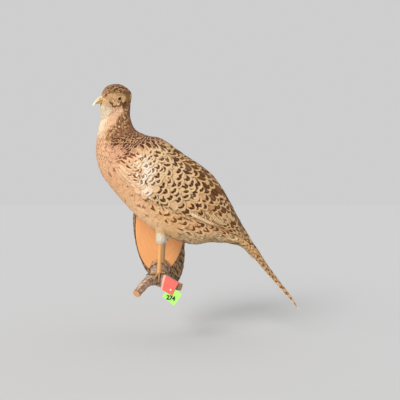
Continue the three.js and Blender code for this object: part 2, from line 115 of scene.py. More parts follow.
# Heading in degrees from straight ahead (-X) towards the room, length, radii.
TOES = {
    "left": {"inner": (38, 19, 2.3, 1.7), "middle": (66, 25, 2.4, 1.7),
             "outer": (94, 21, 2.2, 1.6), "hind": (188, 11, 2.0, 1.6)},
    "right": {"inner": (30, 23, 2.3, 1.7), "middle": (-4, 32, 2.4, 1.7),
              "outer": (-38, 25, 2.2, 1.6), "hind": (178, 11, 2.0, 1.6)},
}
# Elliptical sections of the slice of log: y, middle x and z, half-axes, lean in degrees.
PLAQUE = {
    "bark": 1.8,
    "back": (0, -2, -2, 45.5, 99, 11.5),
    "middle": (-16, -3, 3, 47, 100, 11.5),
    "face": (-28, 0.5, 22, 49.3, 90, -2.5),
}
BRANCH = {
    "root": (2, -6, -58), "middle": (0.5, -75, -57), "fork": (4.5, -127, -65.5),
    "left_end": (-30.5, -177, -86), "right_end": (43.5, -146, -79), "knee": (0, 6, -1.5),
    "left_rise": (-0.5, 1.5, 7), "right_rise": (0, -3, -1),
    "stem": (20, 15.5, 14), "left": (12, 8.8, 7.3), "right": (14.5, 11.2, 6.8),
}
LABEL = {
    "paper": 0.6, "stand": 3.0,
    "red": {"width": 23.5, "flare": 6.5, "drop": 14.4, "fold": math.radians(43), "at": 5.4},
    "green": {"width": 26.5, "height": 23.5, "turn": math.radians(9), "at": (17, 15)},
    "tack": {"radius": 2.0, "at": (11.3, 7.3)},
}
LABEL_STAND = BRANCH["right"][1] + LABEL["stand"]
FIGURES = {
    "text": "274", "height": 7.6, "bold": 0.36, "ink": 0.2, "turn": -25, "place": (0.6, 4.8),
}
HIGHLIGHT_RIDGE = {"span": (0.33, 0.94), "turn": (44, 20), "radius": 2.1, "sunk": 0.3, "rows": 60}
CLEARANCE = 0.3
SIDES = (("left", 1), ("right", -1))
STEP = 0.01  # between the parameters at which a surface's slope is taken


# ------------ small formulas
def smooth(x, low, high):
    """0 below low, 1 above high and the cubic 3t^2 - 2t^3 between; low may exceed high."""
    t = np.clip((np.asarray(x, float) - low) / (high - low), 0, 1)
    return t * t * (3 - 2 * t)


def mixed(a, b, t):
    """a where t is 0, b where t is 1, straight between."""
    return a + (b - a) * t


def window(x, low, high, soft):
    """1 between low and high, falling smoothly to 0 over soft on both sides."""
    return smooth(x, low - soft, low) * smooth(x, high + soft, high)


def unit(vectors):
    """Vectors divided by their length."""
    return vectors / np.maximum(np.linalg.norm(vectors, axis=-1, keepdims=True), 1e-12)


def along(table, place):
    """Catmull-Rom value of a table at real-numbered places, its end rows repeated."""
    table = np.asarray(table, float)
    last = len(table) - 1
    i = np.clip(np.floor(place).astype(int), 0, last - 1)
    t = np.asarray(place, float) - i
    if table.ndim > 1:
        t = t[..., None]
    p = table[np.maximum(i - 1, 0)]
    q = table[i]
    r = table[i + 1]
    s = table[np.minimum(i + 2, last)]
    bend = 2 * p - 5 * q + 4 * r - s
    swing = 3 * q - p - 3 * r + s
    return 0.5 * (2 * q + (r - p) * t + bend * t**2 + swing * t**3)


def at_share(table, share):
    """The value of a table at a share of the way from its first row to its last."""
    return along(table, share * (len(table) - 1))


def curve(points, samples):
    """Centripetal Catmull-Rom curve through the points, at samples of even arc length."""
    points = np.asarray(points, float)
    ends = (2 * points[0] - points[1], 2 * points[-1] - points[-2])
    p = np.vstack([ends[0], points, ends[1]])
    knots = np.concatenate([[0], np.cumsum(np.linalg.norm(np.diff(p, axis=0), axis=1) ** 0.5)])
    pieces = []
    for i in range(1, len(p) - 2):
        t = np.linspace(knots[i], knots[i + 1], 80)[:, None]
        k = knots[i - 1:i + 3]
        row = list(p[i - 1:i + 3])
        for wide in (1, 2, 1):  # the knots that each round of blending reaches over
            first = 1 if len(row) == 2 else 0
            row = [(k[n + wide] - t) / (k[n + wide] - k[n]) * row[n - first]
                   + (t - k[n]) / (k[n + wide] - k[n]) * row[n - first + 1]
                   for n in range(first, first + len(row) - 1)]
        pieces.append(row[0])
    dense = np.vstack(pieces)
    length = run(dense)
    even = np.linspace(0, length[-1], samples)
    return np.stack([np.interp(even, length, dense[:, n]) for n in range(3)], axis=-1)


def ripple(points, wavelength, seed, waves=9):
    """Smooth noise of about -1 to 1: a sum of sine waves in seeded directions."""
    draw = np.random.default_rng(seed)
    ways = unit(draw.normal(size=(waves, 3)))
    pitch = 2 * np.pi / (wavelength * draw.uniform(0.7, 1.5, waves))
    phase = draw.uniform(0, 2 * np.pi, waves)
    total = np.sin(points @ (ways * pitch[:, None]).T + phase)
    return total.sum(axis=-1) / math.sqrt(waves * 0.9)


def circle(count):
    """Even angles round a full turn."""
    return np.linspace(0, 2 * np.pi, count, endpoint=False)


def wheel(turn, right, up):
    """The unit vectors at angles in the plane of two directions."""
    return np.cos(turn)[..., None] * right + np.sin(turn)[..., None] * up


def run(line):
    """The distance of each point of a line from its first, measured along it."""
    return np.concatenate([[0], np.cumsum(np.linalg.norm(np.diff(line, axis=0), axis=1))])


def off_back(angle):
    """Degrees round the body from the back's midline, to either side."""
    return np.abs(np.degrees(angle))


# ------------ the bird's surface
def turned(x, y, z, place):
    """Turns points of the straight bird about the head's upright axis, all of the turn
    above the neck and none below the crop, and sets them out to the bird's plane."""
    share = 1 - smooth(place, 3.5, 8.5)
    angle = HEAD_TURN * share
    dx = (x - HEAD_AXIS_X) * (1 + (HEAD_STRETCH - 1) * share)
    return np.stack(np.broadcast_arrays(
        HEAD_AXIS_X + dx * np.cos(angle) - y * np.sin(angle),
        BIRD_Y + dx * np.sin(angle) + y * np.cos(angle),
        z,
    ), axis=-1)


def straight(place, angle):
    """(x, y, z) of the untwisted body: egg-shaped sections round the two profile lines."""
    row = along(STATIONS, place)
    cos = np.cos(angle)
    rise = np.where(cos > 0, WIDEST + (1 - WIDEST) * cos, WIDEST * (1 + cos))
    x = row[..., 2] + (row[..., 0] - row[..., 2]) * rise
    z = row[..., 3] + (row[..., 1] - row[..., 3]) * rise
    return x, -row[..., 4] * np.sin(angle), z


def body(place, angle):
    """A point of the body's outer surface; the angle runs from the back (0) over the left
    side (90 degrees) to the underside."""
    place, angle = np.broadcast_arrays(np.asarray(place, float), np.asarray(angle, float))
    x, y, z = straight(place, angle)
    return turned(x, y, z, place)


def tail_surface(t, angle):
    """The folded tail: a shallow roof of a section carried along the tail's line."""
    t, angle = np.broadcast_arrays(np.asarray(t, float), np.asarray(angle, float))
    line = curve(TAIL["path"], 160)
    way = unit(np.gradient(line, axis=0))
    at = np.clip(t, 0, 1)
    ahead = at_share(way, at)
    past = np.clip(t - 1, 0, None) * TAIL["length"]
    centre = at_share(line, at) + ahead * past[..., None]
    up = np.stack([-ahead[..., 2], np.zeros_like(t), ahead[..., 0]], axis=-1)
    high = at_share(TAIL["heights"], at) / 2
    wide = at_share(TAIL["half_widths"], at)
    lift = high * np.cos(angle) - 0.35 * high * (1 - np.abs(np.cos(angle)))
    side = np.stack([np.zeros_like(t), -wide * np.sin(angle), np.zeros_like(t)], axis=-1)
    return centre + up * lift[..., None] + side


def shank_surface(side):
    """The thigh: a tapering tube from the hip (t = 0) to the heel (t = 1), and half a ball
    below it, gone over at the same speed and ended by t = SHANK_END."""
    leg = LEGS[side]
    hip = np.array(leg["hip"], float)
    heel = np.array(leg["heel"], float)
    line = curve([hip, (hip + heel) / 2 + (-1, 0, 0), heel], 60)

    def surface(t, angle):
        t, angle = np.broadcast_arrays(np.asarray(t, float), np.asarray(angle, float))
        inside = np.clip(t, 0, 1)
        centre = at_share(line, inside)
        down = unit(heel - hip)
        beyond = np.clip((t - 1) / (SHANK_END - 1), 0, 0.99) * np.pi / 2
        centre = centre + down * (np.sin(beyond) * SHANK_HEEL)[..., None]
        radius = mixed(SHANK_TOP, SHANK_HEEL, inside**0.8) * np.cos(beyond)
        fore = unit(np.array([-1.0, 0, 0]) + down * down[0])
        out = np.cross(down, fore)
        return centre + wheel(angle, fore, out) * radius[..., None]

    return surface


def slopes(surface, u, v):
    """How the surface runs along u and along v: differences across two steps."""
    return (surface(u + STEP, v) - surface(u - STEP, v),
            surface(u, v + STEP) - surface(u, v - STEP))


def facing(surface, u, v):
    """Unit normals that point out of a surface whose v turns left over its back."""
    along_u, along_v = slopes(surface, u, v)
    return unit(np.cross(along_v, along_u))


def wing_places(place):
    """How far along the wing a station lies, and the wing's edges there in degrees."""
    t = np.clip((place - WRIST) / (WING_TIP - WRIST), 0, 1)
    return t, at_share(WING_UPPER, t), at_share(WING_LOWER, t)


def wing_rise(place, angle, under_edge=0.5):
    """Height of the folded wing above the body: a rim and a crown inside its edges, run
    out smoothly over the back and before the wrist. Its lower edge is a step, which melts
    into the breast near the wrist."""
    t, upper, lower = wing_places(place)
    a = off_back(angle)
    q = np.clip((a - upper) / (lower - upper), 0, 1)
    swell = np.sin(np.pi * np.minimum(0.12 + t * 0.8, 1)) ** 0.6
    crown = np.sin(np.pi * (0.04 + 0.92 * q)) ** 0.5
    rise = WING_RISE + WING_CROWN * crown * swell
    rise = rise * smooth(a, upper - 26, upper + 2) * smooth(place, 8.8, 10.3)
    melt = 16 * smooth(place, 10.9, 9.8)
    inside = smooth(a, lower + under_edge + melt, lower - 2 - melt)
    return rise * smooth(place, 15.2, 14.1) * inside


def lifted(surface, rise=None):
    """The surface with a third parameter: the height above it along its normal."""
    def point(u, v, height):
        extra = height if rise is None else height + rise(u, v)
        return surface(u, v) + facing(surface, u, v) * extra[..., None]
    return point


# ------------ mesh from arrays
def linked(name, data):
    """A new object of the scene."""
    made = bpy.data.objects.new(name, data)
    bpy.context.scene.collection.objects.link(made)
    return made


def put_points(mesh, points):
    """Sets the points of a mesh, given in millimetres."""
    mesh.vertices.foreach_set("co", (np.asarray(points) * MM).astype(np.float32).ravel())


def triples(data, key):
    """Three numbers for each point of a mesh."""
    values = np.empty(len(data) * 3, np.float32)
    data.foreach_get(key, values)
    return values.reshape(-1, 3)


def as_mesh(made):
    """A new mesh of an object, as its text or its modifiers make it."""
    bpy.context.view_layer.update()
    view = bpy.context.evaluated_depsgraph_get()
    return bpy.data.meshes.new_from_object(
        made.evaluated_get(view), preserve_all_data_layers=True, depsgraph=view)


def put_layer(mesh, name, value):
    """Adds point colours from one grey, three colours or four values a point."""
    value = np.reshape(value, (len(value), -1))
    if value.shape[1] < 4:
        value = np.hstack([value] * (4 - value.shape[1]))[:, :3]
        value = np.hstack([value, np.ones((len(value), 1))])
    layer = mesh.attributes.new(name, "FLOAT_COLOR", "POINT")
    layer.data.foreach_set("color", value.astype(np.float32).ravel())


def dressed(made, slot, *nodes):
    """Hides the CAD nodes that a piece stands for, and gives the piece back; the slot is not
    used.
    """
    if nodes:
        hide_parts(*nodes)
    return made


def piece(name, points, faces, material, uvs=None, **layers):
    """An object from millimetre points and a list of face arrays (quads or triangles),
    which it turns outwards.

    uvs gives a map's name and its value at every point, or at every corner; layers are
    point colours. The object rides on the body and sits at the origin.
    """
    mesh = bpy.data.meshes.new(name)
    faces = [np.asarray(f, np.int32) for f in outward(points, faces)]
    corners = np.concatenate([f.ravel() for f in faces])
    sizes = np.concatenate([np.full(len(f), f.shape[1]) for f in faces])
    starts = np.concatenate([[0], np.cumsum(sizes)[:-1]])
    mesh.vertices.add(len(points))
    put_points(mesh, points)
    mesh.loops.add(len(corners))
    mesh.loops.foreach_set("vertex_index", corners)
    mesh.polygons.add(len(sizes))
    mesh.polygons.foreach_set("loop_start", starts.astype(np.int32))
    mesh.update(calc_edges=True)
    mesh.polygons.foreach_set("use_smooth", np.ones(len(sizes), bool))
    for key, value in (uvs or {}).items():
        value = np.asarray(value, np.float32)
        value = value if len(value) == len(corners) else value[corners]
        mesh.uv_layers.new(name=key).data.foreach_set("uv", value.ravel())
    for key, value in layers.items():
        put_layer(mesh, key, value)
    mesh.materials.append(material)
    made = linked(name, mesh)
    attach(made, "root")
    return made


def grid_faces(rows, size):
    """Quads of a grid of rings. Rings that run away from you with points that turn
    anticlockwise give faces that point outwards."""
    i, j = (n.ravel() for n in np.indices((rows - 1, size)))
    k = (j + 1) % size
    here, next_ring = i * size, (i + 1) * size
    return np.stack([here + j, here + k, next_ring + k, next_ring + j], axis=1)


def hoop_faces(rows, size):
    """Quads of a hoop: a grid of rings whose last one is joined to the first."""
    return [grid_faces(rows + 1, size) % (rows * size)]


def closed_loft(rings):
    """Points and faces of rings (rows, ring, 3) closed by a pole at each end."""
    rows, size = rings.shape[:2]
    points = np.vstack([rings.reshape(-1, 3), rings[0].mean(0), rings[-1].mean(0)])
    j = np.arange(size)
    k = (j + 1) % size
    pole, last = rows * size + 0 * j, (rows - 1) * size
    fans = np.vstack([np.stack([pole, k, j], axis=1),
                      np.stack([pole + 1, last + j, last + k], axis=1)])
    return points, [grid_faces(rows, size), fans]


def outward(points, faces):
    """The faces, all turned over if they enclose a negative volume."""
    volume = 0.0
    for f in faces:
        a = points[f[:, 0]]
        for n in range(1, f.shape[1] - 1):
            b, c = points[f[:, n]], points[f[:, n + 1]]
            volume += np.einsum("ij,ij->i", a, np.cross(b, c)).sum()
    return faces if volume > 0 else [f[:, ::-1] for f in faces]


def tube_rings(line, radii, size):
    """Rings of the given radii round a line, upright ones first: cos turns towards the
    side that is up, sin across it; radii is (rows,) or (rows, size)."""
    way = unit(np.gradient(line, axis=0))
    nearly_up = np.array([0.02, 0.03, 1.0])
    up = unit(nearly_up - way * (way @ nearly_up)[:, None])
    across = np.cross(way, up)
    turn = circle(size)
    radii = np.asarray(radii, float)
    radii = radii[:, None] if radii.ndim == 1 else radii
    rise = (radii * np.cos(turn))[..., None] * up[:, None]
    side = (radii * np.sin(turn))[..., None] * across[:, None]
    return line[:, None] + rise + side


def loft_piece(name, rings, material, tone=None, poles=None):
    """A closed piece from rings. tone is a grey or a colour at their points; the poles take
    the first and the last, or two greys of their own."""
    points, faces = closed_loft(rings)
    layers = {}
    if tone is not None:
        tone = tone[..., None] if tone.ndim == 2 else tone
        tone = np.broadcast_to(tone, (*rings.shape[:2], tone.shape[-1]))
        tone = tone.reshape(-1, tone.shape[-1])
        ends = tone[[0, -1]] if poles is None else np.reshape(poles, (2, 1))
        layers["tone"] = np.vstack([tone, ends])
    return piece(name, points, faces, material, **layers)


# ------------ materials
def paint(code):
    """Linear red, green and blue of an sRGB colour written as six hex digits."""
    values = np.array([int(code[n:n + 2], 16) / 255 for n in (0, 2, 4)])
    return np.where(values <= 0.04045, values / 12.92, ((values + 0.055) / 1.055) ** 2.4)


class Shader:
    """A material whose nodes are added one after the other and wired as they come."""

    def __init__(self, name, **finish):
        self.material = bpy.data.materials.new(name)
        self.material.use_nodes = True
        self.tree = self.material.node_tree
        self.tree.nodes.clear()
        output = self.tree.nodes.new("ShaderNodeOutputMaterial")
        self.surface = self.node("BsdfPrincipled", **finish)
        self.tree.links.new(self.surface.outputs["BSDF"], output.inputs["Surface"])

    def put(self, socket, value):
        """Wires an output to a socket, or sets its own value, which may be a hex colour."""
        if isinstance(value, bpy.types.NodeSocket):
            self.tree.links.new(value, socket)
        else:
            socket.default_value = (*paint(value), 1.0) if isinstance(value, str) else value

    def node(self, kind, settings=None, **inputs):
        """A node with its settings made and its named inputs put."""
        made = self.tree.nodes.new("ShaderNode" + kind)
        for key, value in (settings or {}).items():
            setattr(made, key, value)
        for key, value in inputs.items():
            self.put(made.inputs[key.replace("_", " ")], value)
        return made

    def math(self, operation, *values):
        """One arithmetic node."""
        made = self.node("Math", {"operation": operation})
        for socket, value in zip(made.inputs, (*values, 0.0, 0.0)):
            self.put(socket, value)
        return made.outputs[0]

    def times(self, a, b):
        """a * b."""
        return self.math("MULTIPLY", a, b)

    def minus(self, a, b):
        """a - b."""
        return self.math("SUBTRACT", a, b)

    def line(self, x, slope, start):
        """x * slope + start."""
        return self.math("MULTIPLY_ADD", x, slope, start)

    def step(self, value, low, high):
        """0 below low and 1 above high, smooth between; low may exceed high."""
        made = self.node("MapRange", {"interpolation_type": "SMOOTHSTEP"},
                         Value=value, From_Min=low, From_Max=high)
        return made.outputs["Result"]

    def mix(self, factor, a, b, blend="MIX"):
        """Colour a where the factor is 0 and b where it is 1."""
        made = self.node("Mix", {"data_type": "RGBA", "blend_type": blend})
        for n, value in ((0, factor), (6, a), (7, b)):
            self.put(made.inputs[n], value)
        return made.outputs[2]

    def shaded(self, color, shade):
        """The colour times a grey."""
        grey = self.node("CombineColor", Red=shade, Green=shade, Blue=shade)
        return self.mix(1.0, color, grey.outputs[0], "MULTIPLY")

    def place(self, scale=(1.0, 1.0, 1.0), offset=(0.0, 0.0, 0.0)):
        """Object coordinates, scaled and moved by a Mapping node."""
        coordinates = self.node("TexCoord").outputs["Object"]
        return self.node("Mapping", Vector=coordinates, Scale=scale,
                         Location=offset).outputs["Vector"]

    def noise(self, scale, detail=3.0, roughness=0.55):
        """Noise of about 0 to 1; scale is per metre, and may differ by direction."""
        even = isinstance(scale, float)
        return self.node("TexNoise", Vector=self.place() if even else self.place(scale),
                         Scale=scale if even else 1.0, Detail=detail, Roughness=roughness,
                         Distortion=0.0).outputs["Fac"]

    def layer(self, name, output="Color"):
        """A point colour of the mesh."""
        return self.node("Attribute", {"attribute_name": name}).outputs[output]

    def parts(self, name):
        """The first three numbers of a point colour."""
        return self.node("SeparateColor", Color=self.layer(name)).outputs

    def map(self, name):
        """The two coordinates of a UV map of the mesh."""
        uv = self.node("UVMap", {"uv_map": name}).outputs["UV"]
        parts = self.node("SeparateXYZ", Vector=uv)
        return parts.outputs["X"], parts.outputs["Y"]

    def finish(self, color, roughness=None, height=None, distance=0.0003):
        """Puts the colour, the roughness and a bump on the surface."""
        self.put(self.surface.inputs["Base Color"], color)
        if roughness is not None:
            self.put(self.surface.inputs["Roughness"], roughness)
        if height is not None:
            bump = self.node("Bump", Height=height, Distance=distance, Strength=1.0)
            self.put(self.surface.inputs["Normal"], bump.outputs["Normal"])
        return self.material


def rounding(make, x, s, blunt):
    """Distance from the middle of a vane's blunt end: 1 on its round edge."""
    past = make.math("MAXIMUM", make.minus(s, blunt), 0.0)
    past = make.math("DIVIDE", past, 1 - blunt)
    return make.math("SQRT", make.math("ADD", make.math("POWER", x, 2.0),
                                       make.math("POWER", past, 2.0)))


def dark_mark(make, behind, thick, x, reach, wobble):
    """Where a mark's ink lies: 0 < behind < thick and x < reach, with wavy sides, and with
    a lighter heart in the thickest ones."""
    mark = make.times(make.step(behind, -0.02, 0.03),
                      make.step(make.minus(thick, behind), -0.03, 0.05))
    inside = make.minus(reach, make.line(wobble, 0.6, x))
    mark = make.times(mark, make.step(inside, 0.0, 0.16))
    heart = make.times(make.step(behind, 0.07, 0.13), make.step(inside, 0.1, 0.3))
    heart = make.times(heart, make.step(thick, 0.34, 0.46))
    return make.times(mark, make.line(heart, -0.4, 1.0))


PAINTED_WARM_LIGHT = (1.0, 0.91, 0.80, 1.0)  # a painted tint of warm light, multiplied over the coat's colours


def plumage(name, blunt=0.55, bars=9.0, barbs=60.0, rim=(0.80, 0.93)):
    """Feather vanes, drawn in the vane's own coordinates: x across (-1 to 1), s along.

    The ground is tone and the mark ink. The mark's front is the chevron s + slope*|x| =
    apex, the vane's own round edge, or between the two; the mark reaches back from it by
    its thickness, and out to |x| = reach. The layer marks holds the mark's strength and
    thickness, the strength of cross bars, and that of the pale fringe round the tip; the
    layer shape holds reach, slope, apex and roundness.
    """
    make = Shader(name, Sheen_Weight=0.04, Sheen_Roughness=0.5, Specular_IOR_Level=0.16)
    u, s = make.map("vane")
    x = make.math("ABSOLUTE", make.line(u, 2.0, -1.0))
    spot = make.noise(330.0, 2.0)
    fine = make.noise(1500.0, 2.0)
    wobble = make.minus(spot, 0.5)
    strength, thick, barred = make.parts("marks")
    reach, slope, apex = make.parts("shape")

    round_off = rounding(make, x, s, blunt)
    chevron = make.minus(apex, make.line(x, slope, s))
    bow = make.times(make.minus(0.84, round_off), 1 - blunt)
    roundness = make.layer("shape", "Alpha")
    behind = make.math("ADD", make.times(bow, roundness),
                       make.times(chevron, make.minus(1.0, roundness)))
    behind = make.line(wobble, 0.22, behind)
    mark = make.times(dark_mark(make, behind, thick, x, reach, wobble), strength)

    wave = make.line(s, bars * 2 * math.pi, make.times(x, 2.2))
    wave = make.math("SINE", make.line(wobble, 5.0, wave))
    bar = make.times(make.step(wave, 0.0, 0.55), barred)
    dark = make.math("MAXIMUM", mark, bar)
    edge = make.step(make.line(wobble, 0.12, round_off), *rim)
    edge = make.times(edge, make.layer("marks", "Alpha"))
    shaft = make.times(make.step(x, 0.06, 0.015), 0.22)

    fringe = make.layer("fringe")
    color = make.mix(dark, make.layer("tone"), make.layer("ink"))
    color = make.mix(edge, color, fringe)
    color = make.mix(shaft, color, fringe)
    barb = make.line(s, barbs * 2 * math.pi, make.times(x, -22.0))
    barb = make.line(make.math("SINE", barb), 0.5, 0.5)
    shade = make.line(barb, 0.07, make.line(fine, 0.24, 0.86))
    # The coat's colour is multiplied by a painted tint of warm light.
    color = make.mix(1.0, make.shaded(color, shade), PAINTED_WARM_LIGHT, blend="MULTIPLY")
    height = make.line(fine, 0.6, make.times(barb, 0.5))
    return make.finish(color, make.line(fine, 0.2, 0.62), height, 0.00018)


def bare_skin(name):
    """The skin under the coat: the coat's own tones, with a fine grain of quill pits."""
    make = Shader(name, Specular_IOR_Level=0.3)
    grain = make.noise(900.0, 4.0)
    shade = make.line(grain, 0.5, 0.55)
    return make.finish(make.shaded(make.layer("tone"), shade), 0.85, grain, 0.0003)


def mottled(name, scale, detail, first, second, roughness, bump=None, **finish):
    """Two colours mixed by noise, which may be a bump too."""
    make = Shader(name, **finish)
    cloud = make.noise(scale, detail)
    color = make.mix(cloud, first, second)
    return make.finish(color, roughness, cloud if bump else None, bump)


# ------------ colours of the bird's parts
def layered(base, *coats):
    """A base colour with further colours laid on by their masks, one over the other."""
    color = paint(base) if isinstance(base, str) else base
    for mask, code in coats:
        color = mixed(color, paint(code), np.clip(mask, 0, 1)[..., None])
    return color


def spot_at(x, z, centre, size, lean=0.0):
    """1 in the middle of a leaning oval of the profile and 0 outside it, soft between."""
    c, s = math.cos(math.radians(lean)), math.sin(math.radians(lean))
    dx, dz = x - centre[0], z - centre[1]
    across, upward = dx * c + dz * s, dz * c - dx * s
    return smooth(np.hypot(across / size[0], upward / size[1]), 1.15, 0.75)


def chance(draw, share):
    """1 for that share of the feathers, by their random numbers, and 0 for the others."""
    return (draw < share) * 1.0


def levels(base, *coats):
    """A base number with further numbers laid on by their masks, one over the other."""
    for mask, value in coats:
        base = mixed(base, value, np.clip(mask, 0, 1))
    return base


def look(tone, ink, fringe, marks, shape):
    """The colours of a tract's feathers, and the numbers of the layers marks and shape."""
    return {"tone": tone, "ink": layered(ink), "fringe": layered(fringe), "marks": marks,
            "shape": shape}


def hood_edge(place):
    """The lower border, in degrees, of the mottled hood and of the scaly mantle."""
    return np.interp(place, [5.0, 5.6, 6.2, 6.7, 7.3, 7.9, 8.4, 9.2, 9.9],
                     [62, 76, 95, 112, 115, 104, 93, 86, 76])


def face_tones(tone, x, z, clumps, on_head):
    """The tone of the head: a mottled crown, tan cheeks, and the face's stripes and spots
    as soft ovals of the profile."""
    crown = on_head * smooth(z, 259.5, 264.5)
    crown = crown * smooth(spot_at(x, z, (-72, 259), (9, 5)), 1, 0.3)
    streaks = smooth(np.sin((0.8 * x + 0.6 * z) * 2 * np.pi / 4.4), -0.1, 0.6)
    dappled = mixed(paint("643b1b"), paint("e0b588"), clumps[..., None])
    reddish = smooth(np.sin(x * 0.9 + 2) * np.sin(z * 0.8), 0.45, 0.8) * crown
    tone = layered(tone, (on_head * smooth(z, 239, 245), "f7cf9a"))
    tone = mixed(tone, dappled, crown[..., None])
    spots = (  # middle, half-axes, lean in degrees, share, colour
        (-57, 258, 5, 10, 0, 0.85, "8a643e"),
        (-62, 262.5, 6, 4, 0, 0.6, "7d5a38"),
        (-54, 262, 2.5, 5, 0, clumps, "ad6e50"),
        (-95.5, 268, 3.4, 5, 0, 0.8, "b3a288"),
        (-89.5, 275.5, 4.2, 2.6, 35, 0.8, "d6966f"),
        (-72, 260, 8, 3.4, 0, 1, "d9b583"),
        (-84.5, 248.5, 5.5, 6.5, 0, streaks * 0.75, "a8703c"),
        (-84.5, 248.5, 5.5, 6.5, 0, (1 - streaks) * 0.85, "fad8a6"),
        (-96, 257.2, 4.4, 3.6, 0, 1, "e8ab84"),
        (-94.2, 258.8, 1.5, 3.6, -32, 1, "8a4626"),
        (-91, 249, 2.0, 3.0, -30, 1, "efcb98"),
        (-62.5, 242.5, 4.2, 8.5, -12, 1, "623a14"),
        (-56, 246, 4.4, 9, -8, 0.6, "94683e"),
        (-86.2, 243.4, 6.4, 1.6, -53, 1, "88552c"),
        (-78.4, 239.3, 5.2, 1.45, 13, 1, "7f4f27"),
        (-69.5, 241.4, 7.4, 1.7, 31, 1, "85552e"),
        (-71.2, 245.4, 6.8, 1.9, 29, 1, "f8dcae"),
        (-68.8, 231.5, 3.6, 2.5, 20, 1, "f6dcba"),
    )
    return layered(tone, (reddish * 0.6, "b5704f"), *(
        (spot_at(x, z, (cx, cz), (wide, high), lean) * share, code)
        for cx, cz, wide, high, lean, share, code in spots))


def coat_colours(place, angle, draw):
    """Tone, ink, fringe, marks and shape of the coat at places on the body: each is laid
    on by soft windows of the station and of the angle; draw holds three random numbers a
    feather."""
    a = off_back(angle)
    x, y, z = straight(place, angle)
    spots = np.stack([x, y, z], axis=-1)
    clumps = smooth(ripple(spots, 5.0, 31), -0.35, 0.45)
    clouds = smooth(ripple(spots, 8.0, 32), -0.45, 0.55)
    on_head = smooth(place, 4.9, 4.2)
    edge = hood_edge(place) + 9 * ripple(spots, 16.0, 33)
    hood = smooth(a, edge + 9, edge - 9) * window(place, 4.6, 9.9, 0.4)
    mantle = hood * smooth(place, 7.1, 7.9)
    front = smooth(a, 106, 128)
    flank = window(place, 11.5, 13.1, 0.4) * window(a, 104, 128, 8)
    under_tail = smooth(place, 13.6, 14.1) * smooth(a, 85, 100)
    belly = smooth(place, 11.6, 12.4) * smooth(a, 124, 142)
    tone = layered(
        "e3b894",
        (window(place, 8.0, 9.3, 0.5) * window(a, 92, 118, 12) * 0.7, "dcab90"),
        (smooth(place, 9.4, 10.4) * smooth(a, 80, 105), "e2af8a"),
        (smooth(place, 9.8, 11.2) * smooth(a, 106, 150) * 0.85, "f4d0a6"),
        (smooth(place, 10.9, 11.6) * window(a, 100, 126, 8), "eac69e"),
        (flank, "d9a873"),
        (flank * clouds * 0.4, "dda660"),
        (belly, "e3bd88"),
        (smooth(place, 12.5, 13.1) * smooth(a, 118, 140), "dcc294"),
        (smooth(place, 12.9, 13.6) * smooth(a, 96, 80), "c6a072"),
        (under_tail, "b8925f"),
        (under_tail * chance(draw[2], 0.4), "ecd8ae"),
        (smooth(place, 8.0, 7.0) * front, "e6caa8"),
        (smooth(place, 7.9, 6.6) * smooth(a, 120, 144), "f6e4cc"),
        (smooth(place, 5.6, 4.4) * smooth(a, 96, 112), "fff0d6"),
        (smooth(place, 7.2, 6.2) * window(a, 80, 112, 16), "eec5a4"),
        (window(place, 7.0, 8.3, 0.5) * front, "e6bb99"),
        (hood, "b88e66"),
        (hood * (1 - clumps) * 0.85, "6d4325"),
        (hood * clumps * clouds * 0.85, "ecc79a"),
        (hood * smooth(a, 48, 30) * 0.6, "8a5c40"),
        (mantle, "a8704f"),
        (smooth(place, 10, 10.8) * smooth(a, 75, 45), "bf9063"),
        (window(place, 10.1, 10.9, 0.25) * window(a, 66, 118, 8), "eccaa8"),
    )
    tone = face_tones(tone, x, z, clumps, on_head)
    ink = layered(
        "75421f",
        (on_head, "4f2d17"),
        (hood, "5e341b"),
        (mantle, "4a2110"),
        ((1 - hood) * window(place, 6.4, 9.4, 0.4), "7c3d1e"),
        (flank, "64330f"),
        (under_tail, "5c3d1f"),
    )
    fringe = layered(
        "efcaa2",
        (hood, "dcb592"),
        (mantle, "efcda6"),
        (on_head, "d8b48c"),
        (smooth(place, 5.6, 4.4) * smooth(a, 90, 108), "fff6e4"),
        (under_tail, "ecd8b0"),
    )
    crop = window(place, 6.7, 8.7, 0.5) * smooth(a, edge + 2, edge + 12) * smooth(a, 172, 150)
    crown = on_head * smooth(z, 259, 264)
    nape = smooth(a, 42, 24) * window(place, 3.6, 7.0, 0.4)
    shoulder = window(place, 9.3, 10.5, 0.3) * smooth(a, 116, 104)
    breast = smooth(place, 8.6, 9.2) * smooth(place, 11.8, 11.2) * smooth(a, 160, 140)
    strength = np.maximum.reduce([
        crown * chance(draw[0], 0.4) * 0.8,
        nape * chance(draw[0], 0.5) * 0.9,
        hood * (1 - mantle) * chance(draw[0], 0.5) * 0.8,
        mantle * chance(draw[0], 0.94),
        crop * chance(draw[0], 0.7),
        shoulder * chance(draw[0], 0.75),
        breast * chance(draw[0], 0.09),
        flank * chance(draw[0], 0.2),
        under_tail * chance(draw[0], 0.7),
    ])
    thick = levels(0.16 + 0.08 * draw[1], (mantle, 0.25 + 0.14 * draw[1]), (crown, 0.3),
                   (flank, 0.12 + 0.2 * draw[1]), (under_tail, 0.3), (crop, 0.5), (breast, 0.45),
                   (shoulder, 0.34))
    edged = np.clip(0.15 + 0.2 * hood + 0.65 * mantle + 0.2 * crop + 0.5 * under_tail, 0, 1)
    reach = levels(0.4 + 0.2 * draw[2], (mantle, 0.56 + 0.2 * draw[2]), (on_head, 0.7),
                   (flank, 0.5 + 0.2 * draw[2]), (under_tail, 0.8), (crop, 0.84), (breast, 0.7))
    slope = levels(0.3 + 0.4 * draw[1], (flank, 0.7), (crop, 0.8))
    return look(tone, ink, fringe, (strength, thick, 0, edged),
                (reach, slope, 0.93 - 0.08 * draw[2], np.maximum(mantle, hood)))


